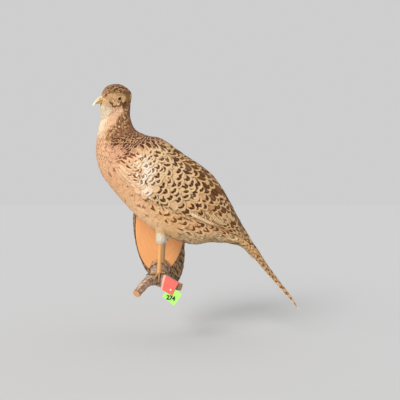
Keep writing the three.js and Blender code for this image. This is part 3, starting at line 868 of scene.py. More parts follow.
def back_colours(place, angle, draw):
    """The same five for the folded wings, the scapulars and the back: white coverts with
    small grey-brown marks at the shoulder, tan ones with dark hearts behind it, and long
    brown feathers with cream edges over the scapulars and the back."""
    a = off_back(angle)
    over = np.interp(place, [9.8, 10.5, 11.2, 12.0, 12.5, 13.25, 14.2],
                     [34, 42, 47, 55, 60, 66, 68])
    scapular = smooth(a, over + 7, over - 4)
    back = smooth(a, 22, 8)
    white = window(place - 0.013 * (a - 90), 9.92, 10.7, 0.3) * smooth(a, 70, 88)
    front = smooth(place, 10.35, 9.95) * smooth(a, 50, 60) * (1 - white)
    small = smooth(place, 11.2, 10.6) * smooth(a, 52, 66)
    far = smooth(place, 11.6, 12.6)
    mantle = smooth(place, 9.8, 9.4) * smooth(a, 84, 70)
    tone = layered(
        "debe96",
        (small, "ecd3b2"),
        (small * smooth(a, 76, 62), "dfbc94"),
        (front, "ddb490"),
        (white, "f9ecda"),
        (far * (1 - scapular), "d6ac7a"),
        (far * (1 - scapular) * chance(draw[2], 0.3), "c2956a"),
        (scapular, "93683f"),
        (scapular * chance(draw[2], 0.62), "7a5029"),
        (back, "6f4929"),
        (mantle, "a8704f"),
    )
    ink = layered(
        "4f2a0f",
        (small, "62422a"),
        (front, "5e3018"),
        (white, "6b5140"),
        (far, "43200b"),
        (scapular, "44250c"),
        (scapular * chance(draw[1], 0.4), "5e3c1a"),
        (back, "3c210a"),
        (mantle, "592a16"),
    )
    fringe = layered(
        "f7dfba",
        (white, "fff8ec"),
        (far, "efd0a4"),
        (scapular, "dcb98b"),
        (back, "c0966a"),
    )
    covert = 1 - np.maximum(scapular, mantle)
    strength = mixed(chance(draw[0], 0.92), chance(draw[0], 0.97), covert)
    strength = strength * levels(1, (white, 0.85))
    thick = levels(0.22 + 0.1 * draw[2] + 0.06 * chance(draw[1], 0.4),
                   (small, 0.22 + 0.12 * draw[2]), (front, 0.34 + 0.12 * draw[2]),
                   (scapular, 0.46 + 0.2 * draw[1]), (mantle, 0.25 + 0.12 * draw[1]))
    reach = levels(0.5 + 0.2 * draw[1], (small, 0.42 + 0.14 * draw[1]),
                   (front, 0.66 + 0.16 * draw[1]), (scapular, 0.7),
                   (mantle, 0.7 + 0.2 * draw[2]))
    slope = levels(0.1 + 0.5 * draw[2], (scapular, 0.22 + 0.3 * draw[2]))
    round_one = levels(0.3 * draw[1], (scapular, 0.45), (mantle, 1.0))
    return look(tone, ink, fringe,
                (strength, thick, 0.1, levels(0.42, (scapular, 1.0))),
                (reach, slope, 0.92 - 0.1 * draw[1], round_one))


# ------------ the coat
class Roots:
    """Where a tract's feathers stand: arrays of one value a feather."""

    def __init__(self, u, v, gap, pitch):
        self.u, self.v, self.gap, self.pitch = u, v, gap, pitch

    def kept(self, where):
        """The roots at which where is true."""
        return Roots(self.u[where], self.v[where], self.gap[where], self.pitch[where])


def column_roots(surface, lines, spacing, stagger=0.5):
    """Roots down the columns of a surface, half a gap out of step from one column to the
    next: in each, the length divided by the spacing grows by one from root to root.

    lines is (u, v) of the columns, each (columns, samples); spacing is as large.
    """
    u, v = lines
    points = surface(u, v)
    pitch = np.linalg.norm(np.roll(points, -1, axis=0) - points, axis=-1)
    pitch[-1] = pitch[-2]
    length = np.linalg.norm(np.diff(points, axis=1), axis=-1)
    count = np.cumsum(length / (0.5 * (spacing[:, 1:] + spacing[:, :-1])), axis=1)
    count = np.hstack([np.zeros((len(u), 1)), count])
    found = []
    for n in range(len(u)):
        at = np.arange(0.2 + stagger * (n % 2), count[n, -1])
        found.append(np.stack([np.interp(at, count[n], row[n])
                               for row in (u, v, spacing, pitch)]))
    return Roots(*np.concatenate(found, axis=1))


def vane_width(s, blunt=0.55, root=0.35):
    """Share of the full width at s: swelling from the root, then rounded off to the tip."""
    swell = root + (1 - root) * smooth(s, 0, 0.5)
    past = np.clip((s - blunt) / (1 - blunt), 0, 1)
    return swell * np.sqrt(np.clip(1 - past**2, 0, 1))


def patches(u, v, largest, share=0.9):
    """Squares of the unwrap, one at each root's place, that keep off each other: the side
    is a share of the distance to the nearest root, in the larger of the two directions."""
    u = (u - u.min()) / max(np.ptp(u), 1e-6)
    v = (v - v.min()) / max(np.ptp(v), 1e-6)
    side = np.empty(len(u))
    for n in range(0, len(u), 500):
        block = slice(n, n + 500)
        apart = np.maximum(abs(u[block, None] - u), abs(v[block, None] - v))
        apart[apart < 1e-9] = 9
        side[block] = apart.min(axis=1) * share
    side = np.clip(side, 0.0015, largest)
    return 0.06 + 0.88 * u, 0.06 + 0.88 * v, side * 0.88


class Vane:
    """The grid that every feather of a tract shares: rings of s from root to tip, each
    with c from -1 to 1 over the upper side and back under it, closed by two poles."""

    def __init__(self, rings, half, blunt, root_width):
        s = np.concatenate([[0.02], 1 - (1 - np.arange(1, rings + 1) / (rings + 0.6)) ** 1.25])
        over = -np.cos(np.linspace(0, np.pi, half * 2 + 1))
        ring = np.concatenate([over, over[-2:0:-1]])
        size, rows = len(ring), len(s)
        self.each = rows * size + 2
        self.s = np.concatenate([np.repeat(s, size), [0.0, 1.0]])
        self.c = np.concatenate([np.tile(ring, rows), [0.0, 0.0]])
        width = vane_width(s, blunt, root_width)
        self.w = np.concatenate([np.repeat(width, size), [0.0, 0.0]])
        below = np.concatenate([np.zeros(len(over)), np.ones(len(over) - 2)])
        self.under = np.concatenate([np.tile(below, rows), [0.5, 0.5]])
        self.faces = closed_loft(np.zeros((rows, size, 3)))[1]

        # Each face's corners in the patch: the upper side takes four fifths of its width.
        turn = np.arange(size + 1) / (size / 2)
        flat = np.where(turn <= 1, 0.8 * turn, 0.6 + 0.2 * turn) - 0.5
        high = s**1.5 - 0.5
        i, j = (n.ravel() for n in np.indices((rows - 1, size)))
        left, right = flat[:-1], flat[1:]
        middle = 0 * left - 0.1
        quads = [(flat[j + dj], high[i + di]) for di, dj in ((0, 0), (0, 1), (1, 1), (1, 0))]
        first = [(middle, -0.5), (right, high[0]), (left, high[0])]
        last = [(middle, 0.5), (left, high[-1]), (right, high[-1])]
        quads, first, last = (
            np.stack([np.stack(np.broadcast_arrays(*p), -1) for p in corners], 1)
            for corners in (quads, first, last))
        self.corners = [quads, np.vstack([first, last])]


def tangents(surface, roots, yaw):
    """How (u, v) changes, at each root, for a millimetre along a vane that is turned by yaw,
    and for one across it: the way's parts along both tangents, solved for u and v."""
    tu, tv = (run / (2 * STEP) for run in slopes(surface, roots.u, roots.v))
    ahead = unit(tu)
    across = np.cross(unit(np.cross(tv, tu)), ahead)
    cos, sin = np.cos(yaw)[:, None], np.sin(yaw)[:, None]
    uu, uv, vv = ((p * q).sum(-1) for p, q in ((tu, tu), (tu, tv), (tv, tv)))
    area = uu * vv - uv**2
    for way in (ahead * cos + across * sin, across * cos - ahead * sin):
        pu, pv = (way * tu).sum(-1), (way * tv).sum(-1)
        yield ((pu * vv - pv * uv) / area)[:, None], ((pv * uu - pu * uv) / area)[:, None]


def bake_map(roots, vane, order, largest):
    """The unwrap of a tract, corner by corner: each vane's patch in its own square."""
    u, v, side = patches(roots.u, roots.v, largest)
    centre = np.stack([u, v], axis=-1)[:, None, None]
    return np.concatenate([
        (centre + side[:, None, None, None] * corners[:, order]).reshape(-1, 2)
        for corners in vane.corners])


def by_point(layers, count, each):
    """The colours of so many feathers, repeated for each of a feather's points."""
    repeated = {}
    for key, value in layers.items():
        if isinstance(value, tuple):
            value = np.stack(np.broadcast_arrays(*value), axis=-1)
        value = np.broadcast_to(value, (count, value.shape[-1]))
        repeated[key] = np.repeat(value, each, axis=0)
    return repeated


def vanes(name, surface, roots, material, colours, length, width, depth, step, thick,
          camber, rings, blunt, half=5, yaw=0.0, flare=0.0, rise=None, spread=0.08,
          root_width=0.35, patch=0.009, slot="plumage", nodes=()):
    """Closed thin vanes that lie on a surface, one at each root.

    A point at s (root 0, tip 1) and c (-1 to 1 across) lies on the surface at the root's
    place moved by s*length along the lie and by c*width(s)/2 across it. Its height is
    -depth at the root, comes up within the first 40 per cent of the length, and then
    rises by step per row of feathers to 0 at the tip, less camber*c^2 of the width. The
    under side is the upper one lowered by thick*(1 - c^2). The colours are those of the
    place where the vane's end shows, three quarters along it.
    """
    count = len(roots.u)
    # One row each for length, width, turn, lift and flare, and three for the colours.
    draw = rng.uniform(size=(8, count))
    length = length * (1 + spread * (draw[0] * 2 - 1))
    width = width * (1 + spread * (draw[1] * 2 - 1))
    (au, av), (cu, cv) = tangents(surface, roots, yaw + 0.16 * (draw[2] - 0.5))

    vane = Vane(rings, half, blunt, root_width)
    go = vane.s * length[:, None]
    aside = vane.c * vane.w * (width / 2)[:, None]
    u = roots.u[:, None] + au * go + cu * aside
    v = roots.v[:, None] + av * go + cv * aside
    up = smooth(vane.s, 0.0, 0.4)
    height = -np.broadcast_to(depth, count)[:, None] * (1 - up)
    height = height - step * (length / roots.gap)[:, None] * (1 - vane.s) * up
    height = height - camber * (vane.c * vane.w) ** 2 * width[:, None] / 2
    height = height - thick * (1 - vane.c**2) * vane.under
    height = height + (step * (draw[3] - 0.5))[:, None] * up
    height = height + (flare * draw[4] * length * 0.3)[:, None] * vane.s**2
    points = lifted(surface, rise)(u, v, height).reshape(-1, 3)

    flip = outward(points[:vane.each], vane.faces)[0] is not vane.faces[0]
    order = slice(None, None, -1) if flip else slice(None)
    start = (np.arange(count) * vane.each)[:, None, None]
    faces = [(f[:, order] + start).reshape(-1, f.shape[1]) for f in vane.faces]

    shown = 0.75 * length
    layers = colours(roots.u + au[:, 0] * shown, roots.v + av[:, 0] * shown, draw[5:])
    layers["tone"] = layers["tone"] * (1 + 0.12 * (draw[0] - 0.5))[:, None]
    drawn = np.stack([0.5 + 0.5 * vane.c * vane.w, vane.s], axis=-1)
    made = piece(name, points, faces, material, **by_point(layers, count, vane.each),
                 uvs={"vane": np.tile(drawn, (count, 1)),
                      "OFBake": bake_map(roots, vane, order, patch)})
    return dressed(made, slot, *nodes)


# ------------ the coat's tracts
# The small feathers, from head to tail: a piece's name, the stations where it starts and
# ends, its columns round the body, its gaps between rows and its feathers' lengths as
# shares of the usual ones, their width in columns, how blunt they end, and their grid.
BANDS = [
    {"name": "coat_head", "from": 0.1, "to": 4.4, "columns": 108, "gap": 0.8, "length": 2.9,
     "width": 2.0, "vane": {"blunt": 0.3, "rings": 5, "half": 1, "step": 0.08,
                            "thick": 0.09, "camber": 0.05}},
    {"name": "coat_neck", "from": 4.4, "to": 7.4, "columns": 74, "gap": 0.78, "length": 2.8,
     "width": 1.9, "vane": {"blunt": 0.4, "rings": 6, "half": 2, "step": 0.17,
                            "thick": 0.14, "camber": 0.12}},
    {"name": "coat_breast", "from": 7.4, "to": 10.9, "columns": 58, "gap": 0.85, "length": 2.7,
     "width": 1.85, "vane": {"blunt": 0.45, "rings": 7, "half": 3, "step": 0.22,
                             "thick": 0.18, "camber": 0.12}},
    {"name": "coat_belly", "from": 10.9, "to": 15.6, "columns": 50, "gap": 0.95, "length": 2.6,
     "width": 1.85, "vane": {"blunt": 0.45, "rings": 7, "half": 3, "step": 0.24,
                             "thick": 0.18, "camber": 0.12}},
]
BACK_COLUMNS = 14  # columns of large feathers from the back's midline to a wing's edge

# By station: the gap between rows of small feathers, and the coat's depth.
GAPS = np.array([
    1.7, 1.8, 2.0, 2.3, 2.8, 3.6, 4.4, 5.2, 6.4, 6.6, 7.0, 8.0, 8.5, 7.5, 7, 7, 7, 7,
])
DEPTHS = np.array([
    0.9, 1.0, 1.2, 1.3, 1.6, 2.2, 2.8, 3.4, 4.0, 4.6, 5, 5, 5, 5, 4, 3, 2.5, 2.5,
])


def eye_frame(side):
    """The eyeball's middle, and the ways out of the head, forwards and up there."""
    def at(out):
        return turned(np.array(EYE["x"]), np.array(-side * out), np.array(EYE["z"]),
                      np.array(0.0))

    out = unit(at(EYE["out"] + 1) - at(EYE["out"]))
    up = unit(np.array([0, 0, 1.0]) - out * out[2])
    fore = np.cross(out, up) * side
    return at(EYE["out"]), out, fore, up


def eye_places(points, side):
    """Places in the plane of an eye: forwards, upwards and out, from its middle."""
    middle, out, fore, up = eye_frame(side)
    from_eye = points - middle
    return from_eye @ fore, from_eye @ up, from_eye @ out


def clear_of_eyes(roots):
    """Drops the roots at the gape and within the eyes' bare rims, and turns those around to
    pass by, as water flows round a post of the rim's size."""
    points = body(roots.u, roots.v)
    yaw = np.zeros(len(roots.u))
    rim = EYE["bare_rim"]
    x, _, z = straight(roots.u, roots.v)
    free = spot_at(x, z, (-98.5, 250.5), (4.2, 3.2), -8) < 0.5
    for side in (1, -1):
        fore, up, out = eye_places(points, side)
        near = out > 0
        reach = np.hypot(fore, up)
        free &= ~(near & (reach < rim))
        flow = 1 - (rim**2) / np.maximum(reach, rim) ** 2 * np.exp(-2j * np.arctan2(up, -fore))
        bend = np.angle(np.conj(flow))
        yaw += np.where(near & (reach < 14), bend, 0) * smooth(reach, 14, 6) * side
    return free, yaw


def covert_start(a):
    """The station from which coverts cover the wing, by the angle round the body."""
    return np.interp(a, [50, 65, 85, 95, 107, 123], [9.3, 9.28, 9.52, 9.9, 10.25, 10.62])


def body_tract(low, high, columns, share):
    """The roots of contour feathers between two stations, but for those under the wings."""
    place = np.linspace(low, high, 500)
    turn = np.linspace(-np.pi, np.pi, columns, endpoint=False) + np.pi / columns
    u, v = np.broadcast_arrays(place[None], turn[:, None])
    roots = column_roots(body, (u, v), np.broadcast_to(along(GAPS, place) * share, u.shape))
    roots.u = roots.u + rng.normal(0, 0.022, len(roots.u))
    a = off_back(roots.v)
    lower = wing_places(roots.u)[2]
    under_wing = (roots.u > covert_start(a) + 0.35) & (a < lower - 7) & (roots.u < 15.2)
    crowded = roots.pitch / roots.gap * 1.15 + 0.25
    sparse = (roots.u > 12.8) & (rng.uniform(size=len(a)) > crowded)
    vent = (roots.u > 12.55) & (a > 118) & (roots.u < 13.9)
    return roots.kept(~under_wing & ~sparse & ~vent)


def small_feathers(material, face_material):
    """The contour feathers of head, neck, breast and belly, a piece for each."""
    for band in BANDS:
        roots = body_tract(band["from"], band["to"], band["columns"], band["gap"])
        free, yaw = clear_of_eyes(roots)
        tract = roots.kept(free)
        a = off_back(tract.v)
        on_side = (tract.u < 10.9) | (a < wing_places(tract.u)[2] - 8)

        def rise(u, v, tract=tract, on_side=on_side):
            return wing_rise(u, tract.v[:, None]) * on_side[:, None]

        vanes(
            band["name"], body, tract,
            face_material if band["name"] == "coat_head" else material, coat_colours,
            length=tract.gap * band["length"],
            width=np.maximum(tract.pitch * band["width"], tract.gap * 0.75),
            depth=along(DEPTHS, tract.u), rise=rise,
            yaw=yaw[free] + rng.normal(0, 0.09, len(tract.u)),
            flare=np.interp(tract.u, [3, 5, 9, 10], [0.05, 0.12, 0.08, 0.02]), **band["vane"],
        )


def back_tract(low, high):
    """Columns of large feathers between the back's midline and both wings' edges; the
    columns keep their share of the way, so they draw together towards the tail."""
    place = np.linspace(low, high, 800)
    share = (np.arange(-BACK_COLUMNS, BACK_COLUMNS) + 0.5) / BACK_COLUMNS
    edge = np.radians(wing_places(place)[2])
    u = np.broadcast_to(place, (len(share), len(place)))
    v = share[:, None] * edge
    spacing = np.interp(place, [9, 9.8, 10.6, 11.6, 12.5, 14, 15.5],
                        [5.6, 6.2, 7.2, 9.4, 10.4, 9.8, 9])
    longer = 1.45 - 0.45 * smooth(np.abs(share), 0.4, 0.62)
    roots = column_roots(body, (u, v), spacing[None] * longer[:, None])
    roots.u = roots.u + rng.normal(0, 0.05, len(roots.u))
    roots.v = roots.v * rng.normal(1, 0.022, len(roots.v))
    return roots


def large_feathers(material):
    """Scapulars, back and wing coverts, in a piece for each side. They leave the wing's
    hind lower part to the quills."""
    roots = back_tract(9.0, 15.5)
    a = off_back(roots.v)
    before = roots.u < covert_start(a) + rng.uniform(-0.12, 0.12, len(a))
    quills = a > np.interp(roots.u, [11.9, 12.1, 12.4, 12.8, 13.2, 13.5],
                           [120, 88, 74, 70, 84, 104])
    quills &= (roots.u > 11.9) & (roots.u < 13.5)
    narrow = (roots.u > 12.9) & (rng.uniform(size=len(roots.u)) > roots.pitch / 4.5)
    roots = roots.kept(~narrow & ~before & ~quills)
    for name, side in SIDES:
        tract = roots.kept(roots.v * side > 0)
        vanes(
            f"coat_back_{name}", body, tract, material, back_colours,
            length=tract.gap * 2.5, width=np.maximum(tract.pitch * 1.8, tract.gap * 0.7),
            depth=4.0, step=0.4, thick=0.24, rings=10, half=3, camber=0.16, rise=wing_rise,
            blunt=0.4, flare=0.03, spread=0.16, yaw=rng.normal(0, 0.13, len(tract.u)),
        )


def flank_colours(place, angle, draw):
    """The same five for the flank: tan feathers with amber cores and dark chestnut rings
    and hairpins, and streaky cream ones along the wing's lower edge."""
    streak = smooth(place, 12.1, 11.6) * smooth(off_back(angle), 117, 112)
    return look(
        layered("deb388", (chance(draw[2], 0.35) * 0.5, "d6a164"), (streak, "f6dcb8"),
                (streak * chance(draw[0], 0.45), "d6ad82")),
        layered("5d2d0c", (chance(draw[1], 0.3), "75451c")),
        "f3d7ab",
        (chance(draw[0], 0.92) * (1 - streak), 0.2 + 0.17 * draw[2], 0,
         levels(0.6, (streak, 1.0))),
        (0.55 + 0.25 * draw[1], 0.3 + 0.6 * draw[2], 0.9 - 0.12 * draw[1],
         chance(draw[1], 0.4) * 0.8),
    )


def flank_feathers(material):
    """Rows of larger feathers down each flank, below the wing and behind it, and long
    narrow ones that cover the wing's lower edge."""
    rows = [
        ("flank_low", (11.1, 131), (12.75, 123), 7, 26, 17, 0.4),
        ("flank_middle", (11.2, 124), (12.95, 114), 7, 26, 17, 0.9),
        ("flank_high", (11.05, 116), (12.8, 106), 7, 26, 15, 1.4),
        ("flank_rear", (12.45, 109), (13.5, 92), 6, 25, 13, 1.2),
        ("edge_low", (10.7, 120), (12.1, 103), 15, 27, 4, 2.2),
        ("edge_high", (10.8, 115), (12.0, 100), 15, 27, 4, 3.0),
    ]
    for name, side in SIDES:
        for kind, start, end, count, length, width, high in rows:
            roots = flight_roots(start, end, 8.0, count)
            roots.u = roots.u + rng.normal(0, 0.05, count)
            roots.v = roots.v * side * rng.normal(1, 0.012, count)
            vanes(
                f"coat_{kind}_{name}", body, roots, material, flank_colours, length=length,
                width=width, depth=4.0, step=0.25, thick=0.25, rings=12, camber=0.14,
                rise=lambda u, v, high=high: high, blunt=0.5, patch=0.03,
                yaw=rng.normal(0, 0.12, count),
            )


def down_tufts(material):
    """Loose fluff under the vent: narrow strands that hang out of the coat."""
    def colours(u, v, draw):
        # Painted shade: two in five strands low on the underside are darkened to 7d6242.
        low = smooth(off_back(v), 150, 168)
        tone = layered("ecd0a6", (chance(draw[0], 0.4), "fae5c6"),
                       (chance(draw[1], 0.25), "bb946a"),
                       (low * chance(draw[2], 0.4), "7d6242"))
        return look(tone, "6c5639", "e6dabf", (0, 0.1, 0, 0), (0, 0.1, 0, 0))

    count = 2200
    u = 12.2 + 1.7 * rng.uniform(size=count) ** 0.7
    v = np.radians(180 + 60 * rng.uniform(-1, 1, count))
    gap = np.full(count, 4.0)
    vanes(
        "coat_vent", body, Roots(u, v, gap, gap), material, colours,
        length=rng.uniform(11, 19, count), width=rng.uniform(2.6, 5.0, count),
        depth=3.0, step=0.14, thick=0.14, rings=5, half=1, blunt=0.1, camber=0.03,
        yaw=rng.normal(0, 0.28, count), flare=0.16, root_width=0.8, slot="pale_plumage",
    )


def shank_tufts(material, side):
    """The downy end of the thigh: rows of soft white tufts, closing in over the heel."""
    surface = shank_surface(side)
    t = np.linspace(0.15, SHANK_END - 0.1, 200)
    u, v = np.broadcast_arrays(t[None], circle(30)[:, None])
    roots = column_roots(surface, (u, v), np.full(u.shape, 1.9))

    def colours(u, v, draw):
        tone = layered("fffaf0", (draw[0] ** 2, "f6ecd8"))
        tone = mixed(paint("f0cfa2"), tone, smooth(u, 0.68, 0.85)[:, None])
        return look(tone, "c2a478", "fbf0da", (0, 0.1, 0, 0.3), (0, 0.1, 0, 0.3))

    vanes(
        f"coat_shank_{side}", surface, roots, material, colours,
        length=7.0, width=np.maximum(roots.pitch * 1.9, 1.4), depth=1.4, step=0.1,
        thick=0.12, rings=6, half=1, yaw=rng.normal(0, 0.12, len(roots.u)), blunt=0.2,
        flare=0.03, camber=0.04, slot="pale_plumage",
    )


# ------------ flight and tail feathers
def flight_roots(start, end, places, count):
    """Roots spread evenly between two (station, degrees) places."""
    t = np.linspace(0, 1, count)
    u = mixed(start[0], end[0], t)
    v = np.radians(mixed(start[1], end[1], t))
    return Roots(u, v, np.full(count, places), np.full(count, places))


def quill_colours(pale):
    """Colours of a set of quills, by how pale it is: turn about light and dark, barred,
    with a cream edge."""
    def colours(u, v, draw):
        tone = layered("f4d7ab", (np.arange(len(u)) % 2, "b98d5e"), (pale, "ffeccb"))
        return look(tone, "5a3818", layered("fbe9c9", (pale, "c99c6c")),
                    (0, 0.2, 0.85 - 0.75 * pale, 0.9), (0.5, 0.5, 0.5, 0.5))
    return colours


def wing_quills(material):
    """Secondaries and primaries of the folded wing, which slip out from under the coverts
    along its lower edge, the primaries the longest and lowest, with a cream outermost."""
    sets = [
        ("secondaries", (12.0, 94), (12.9, 60), 13, 42, 10, 0.0, 0.04, 0.0),
        ("primaries", (12.05, 97), (12.6, 85), 9, 54, 6, 0.5, 0.16, 0.0),
        ("outer_primaries", (12.0, 100.6), (12.2, 97.2), 4, 56, 4.8, 1.8, 0.2, 0.8),
    ]
    for name, side in SIDES:
        for kind, start, end, count, length, width, high, turn, pale in sets:
            roots = flight_roots(start, end, 6.0, count)
            roots.v = roots.v * side
            order = np.linspace(-1.2, 0.1, count) + high

            def rise(u, v, order=order):
                return wing_rise(u, v, 3.0) + order[:, None]

            vanes(
                f"{kind}_{name}", body, roots, material, quill_colours(pale), length=length,
                width=width, depth=3.0, step=0.03, thick=0.4, rings=26, camber=0.10,
                rise=rise, blunt=0.6, yaw=turn * side + rng.normal(0, 0.03, count),
                spread=0.05, patch=0.2,
            )


def tail_feathers(material):
    """Eighteen tail feathers, nine a side: each lies round the folded tail a little lower
    and ends a little sooner than the one above it."""
    def colours(u, v, draw):
        return look(layered("eecb9e", (draw[0], "c99e6f")), "553418", "f6dcb2",
                    (0, 0.2, 0.85, 1.0), (0.5, 0.5, 0.5, 0.5))

    def rise(u, v):
        under = -0.45 * off_back(v) / TAIL["apart"] * smooth(u, 0, 0.2)
        return under + 1.1 * window(u, 0.25, 0.85, 0.15)

    n = np.arange(len(TAIL["shorter"]))
    gap = 0 * n + 20.0
    for name, side in SIDES:
        place = np.radians(TAIL["first"] + TAIL["apart"] * n) * side
        roots = Roots(0 * n + 0.01, place, gap, gap)
        vanes(
            f"tail_feathers_{name}", tail_surface, roots, material, colours,
            length=TAIL["feather"] * (1 - TAIL["shorter"]), width=18.5, depth=1.0, step=0.0,
            thick=0.5, rings=60, camber=0.05, blunt=0.7, rise=rise, spread=0.01,
            root_width=0.7, patch=0.2, nodes=("tail",),
        )


# ------------ the skin
def skin_piece():
    """One skin for head, neck, trunk and thighs, inside the coat by its depth: the body's
    sections carried from the bill into the tail, with the thighs joined to it."""
    place, turn = np.broadcast_arrays(np.linspace(0.0, 15.9, 230)[:, None], circle(132))
    angle = np.where(turn > np.pi, turn - 2 * np.pi, turn)
    depth = along(DEPTHS, place) + 0.4
    rings = lifted(body)(place, turn, wing_rise(place, angle, 6) - depth)
    ones = np.ones((3, *place.shape))
    lower = wing_places(place)[2]
    on_wing = smooth(off_back(angle), lower + 2, lower - 2) * smooth(place, 9.2, 9.8)
    tone = mixed(coat_colours(place, angle, ones)["tone"],
                 back_colours(place, angle, ones)["tone"], on_wing[..., None])
    skin = loft_piece("skin", rings, bare_skin("bird_skin"), tone)
    for side in LEGS:
        t, turn = np.broadcast_arrays(np.linspace(0.0, SHANK_END, 50)[:, None], circle(36))
        rings = lifted(shank_surface(side))(t, turn, np.full(t.shape, -1.4))
        joined(skin, loft_piece(f"thigh_{side}", rings, skin.data.materials[0],
                                paint("dcc39a")))
    dressed(skin, "plumage", "head", "neck", "trunk", "wing_left", "wing_right",
            "shank_left", "shank_right")


def applied(made):
    """Bakes an object's modifiers into its mesh."""
    mesh = as_mesh(made)
    made.modifiers.clear()
    made.data = mesh


def joined(made, other):
    """Adds another closed shape to a piece by a boolean union, and removes it."""
    union = made.modifiers.new("union", "BOOLEAN")
    union.operation = "UNION"
    union.solver = "EXACT"
    union.object = other
    applied(made)
    bpy.data.objects.remove(other)


# ------------ bill, eyes and lids
def horn(name):
    """Horn of the bill: ochre at the sides of its base, cream at the tip, and cream along
    the ridge as a painted highlight, with fine lines along it."""
    make = Shader(name, Coat_Weight=0.25, Coat_Roughness=0.3)
    tint = make.layer("tone")
    cloud = make.noise(420.0, 4.0)
    lines = make.noise((260.0, 260.0, 1500.0), 3.0)
    shade = make.line(cloud, 0.3, make.line(lines, 0.16, 0.73))
    return make.finish(make.shaded(tint, shade), make.line(cloud, 0.2, 0.3), lines, 0.0002)


def upper_section(t, sin, cos, taper, wide):
    """The upper mandible's half-widths and heights, the mask of its ridge, where a highlight
    is painted, and that of its nostrils, which are painted dark as shade: a half-ellipse
    with a narrow ridge, hooked down at the tip, and on either side a nostril under its flap."""
    arch = np.sign(sin) * np.abs(sin) ** np.where(sin > 0, 0.9, 1.0)
    high = np.where(sin > 0, BILL["upper"] * taper * arch, 0.10 * wide * sin)
    high = high - 1.1 * smooth(t, 0.72, 1.0) + 0.15
    nostril = np.exp(-(((t - 0.545) / 0.045) ** 2) - ((sin - 0.42) / 0.13) ** 2)
    flap = np.exp(-(((t - 0.53) / 0.07) ** 2) - ((sin - 0.66) / 0.16) ** 2)
    hollow = (0.22 * nostril - 0.12 * flap) * (sin > 0) * (np.abs(cos) > 0.2)
    wide = wide * (1 - 0.16 * np.clip(sin, 0, 1)) * (1 - hollow)
    return wide, high, smooth(sin, 0.55, 0.95), nostril * (sin > 0) * 1.1


def bill():
    """Both mandibles: half-ellipses above or below a gape that droops to the tip, drawn in
    to it as an ellipse, with a cutting edge."""
    material = horn("bill_horn")
    (root_x, root_z), (tip_x, tip_z) = BILL["root"], BILL["tip"]
    t = np.sin(np.linspace(0.25, 0.995, 60) * np.pi / 2)[:, None]
    turn = circle(72)[None]
    cos, sin = np.cos(turn), np.sin(turn)
    taper = np.sqrt(np.clip(1 - t * t, 0.0, 1))
    for name, reach, stout in (("bill_upper", 1.0, 1.0), ("bill_lower", 0.86, 0.84)):
        far = t * reach
        gape = root_z + (tip_z - root_z) * far**2 - BILL["gape_drop"] + BILL["arch"] * (1 - far)
        wide = BILL["half_width"] * taper * stout
        wide = wide * (1 + 0.2 * smooth(t, 0.52, 0.3))
        if name == "bill_upper":
            wide, high, ridge, dark = upper_section(t, sin, cos, taper, wide)
        else:
            high = np.where(sin < 0, BILL["lower"] * taper * sin, 0.08 * wide * sin) - 0.15
            ridge = dark = 0 * sin
        x = root_x + (tip_x - root_x) * far
        tip = smooth(t, 0.80, 0.97)
        tone = layered(
            "e6c88e",
            (smooth(t, 0.62, 0.42) * (1 - ridge), "dbb067"),
            # Painted highlight: cream along the upper mandible's ridge.
            (ridge * 0.9, "f5e8c2"),
            (tip, "f8f2da"),
            # Painted shade: the nostrils are coloured dark.
            (dark, "4a2f1c"),
            # Painted shade: darker along the gape, where the two mandibles meet.
            (smooth(np.abs(sin), 0.14, 0.0) * (1 - tip), "8a6238"),
        )
        rings = turned(x + 0 * turn, -wide * cos, gape + high, 0 * t * turn)
        dressed(loft_piece(f"{name}_horn", rings, material, tone), "bill_horn", name)


def round_eye(side, reach, off, turn):
    """Points at a distance from an eye's middle, by the angle off its axis and round it."""
    middle, out, fore, up = eye_frame(side)
    ring = np.sin(off)[..., None] * wheel(turn, fore, up)
    return middle + reach[..., None] * (np.cos(off)[..., None] * out + ring)


def eyeball(name, side, glass):
    """A glass ball with a raised cornea; iris and pupil by the angle off its axis."""
    off = np.radians(np.concatenate([np.linspace(1.5, 40, 22), np.linspace(46, 178, 26)]))
    off = off[:, None]
    bulge = EYE["radius"] + EYE["cornea"] * smooth(off, math.radians(36), 0)
    tone = layered("3f230f", (smooth(off, 0.62, 0.55), "6b3d16"),
                   (smooth(off, 0.36, 0.31), "080504"))
    ball = round_eye(side, bulge, off, circle(40))
    dressed(loft_piece(f"eye_{name}_glass", ball, glass, tone), "glass_eye", f"eye_{name}")


def eyelids(name, side, skin):
    """Two lids in one hoop that leaves an oval opening, tilted up towards the back of the
    head: a thick edge, a crease, and an end sunk into the head."""
    radius = EYE["radius"]
    turn = circle(72)
    lean = turn + LIDS["tilt"]
    opening = 1 / np.hypot(np.cos(lean) / LIDS["long"], np.sin(lean) / LIDS["high"])
    opening = np.arcsin(opening / (radius + 0.3))
    way = np.linspace(0, 1, 22)
    spread = at_share([0.05, 0.0, 0.03, 0.12, 0.3, 0.55, 0.8, 1.0], way)
    stand = at_share([0.05, 0.4, 0.75, 0.7, 0.5, 0.45, 0.2, -1.2], way)
    off = mixed(opening, LIDS["reach"], spread[:, None])
    crease = 0.13 * np.sin(way * 26)[:, None] * window(way, 0.3, 0.8, 0.15)[:, None]
    reach = radius + stand[:, None] + crease * (1 + 0.3 * np.sin(3 * turn))
    points = np.vstack([round_eye(side, reach, off, turn),
                        round_eye(side, reach[::-1] - LIDS["thick"], off[::-1], turn)])
    points = points.reshape(-1, 3)
    # Painted shade: the lid's rim at the opening and its whole inner side, against the eyeball,
    # take the dark colour.
    edge = np.repeat(np.concatenate([smooth(way, 0.16, 0.05), np.ones(22)]), 72)
    dressed(piece(f"eyelids_{name}", points, hoop_faces(44, 72), skin, tone=edge), "plumage")


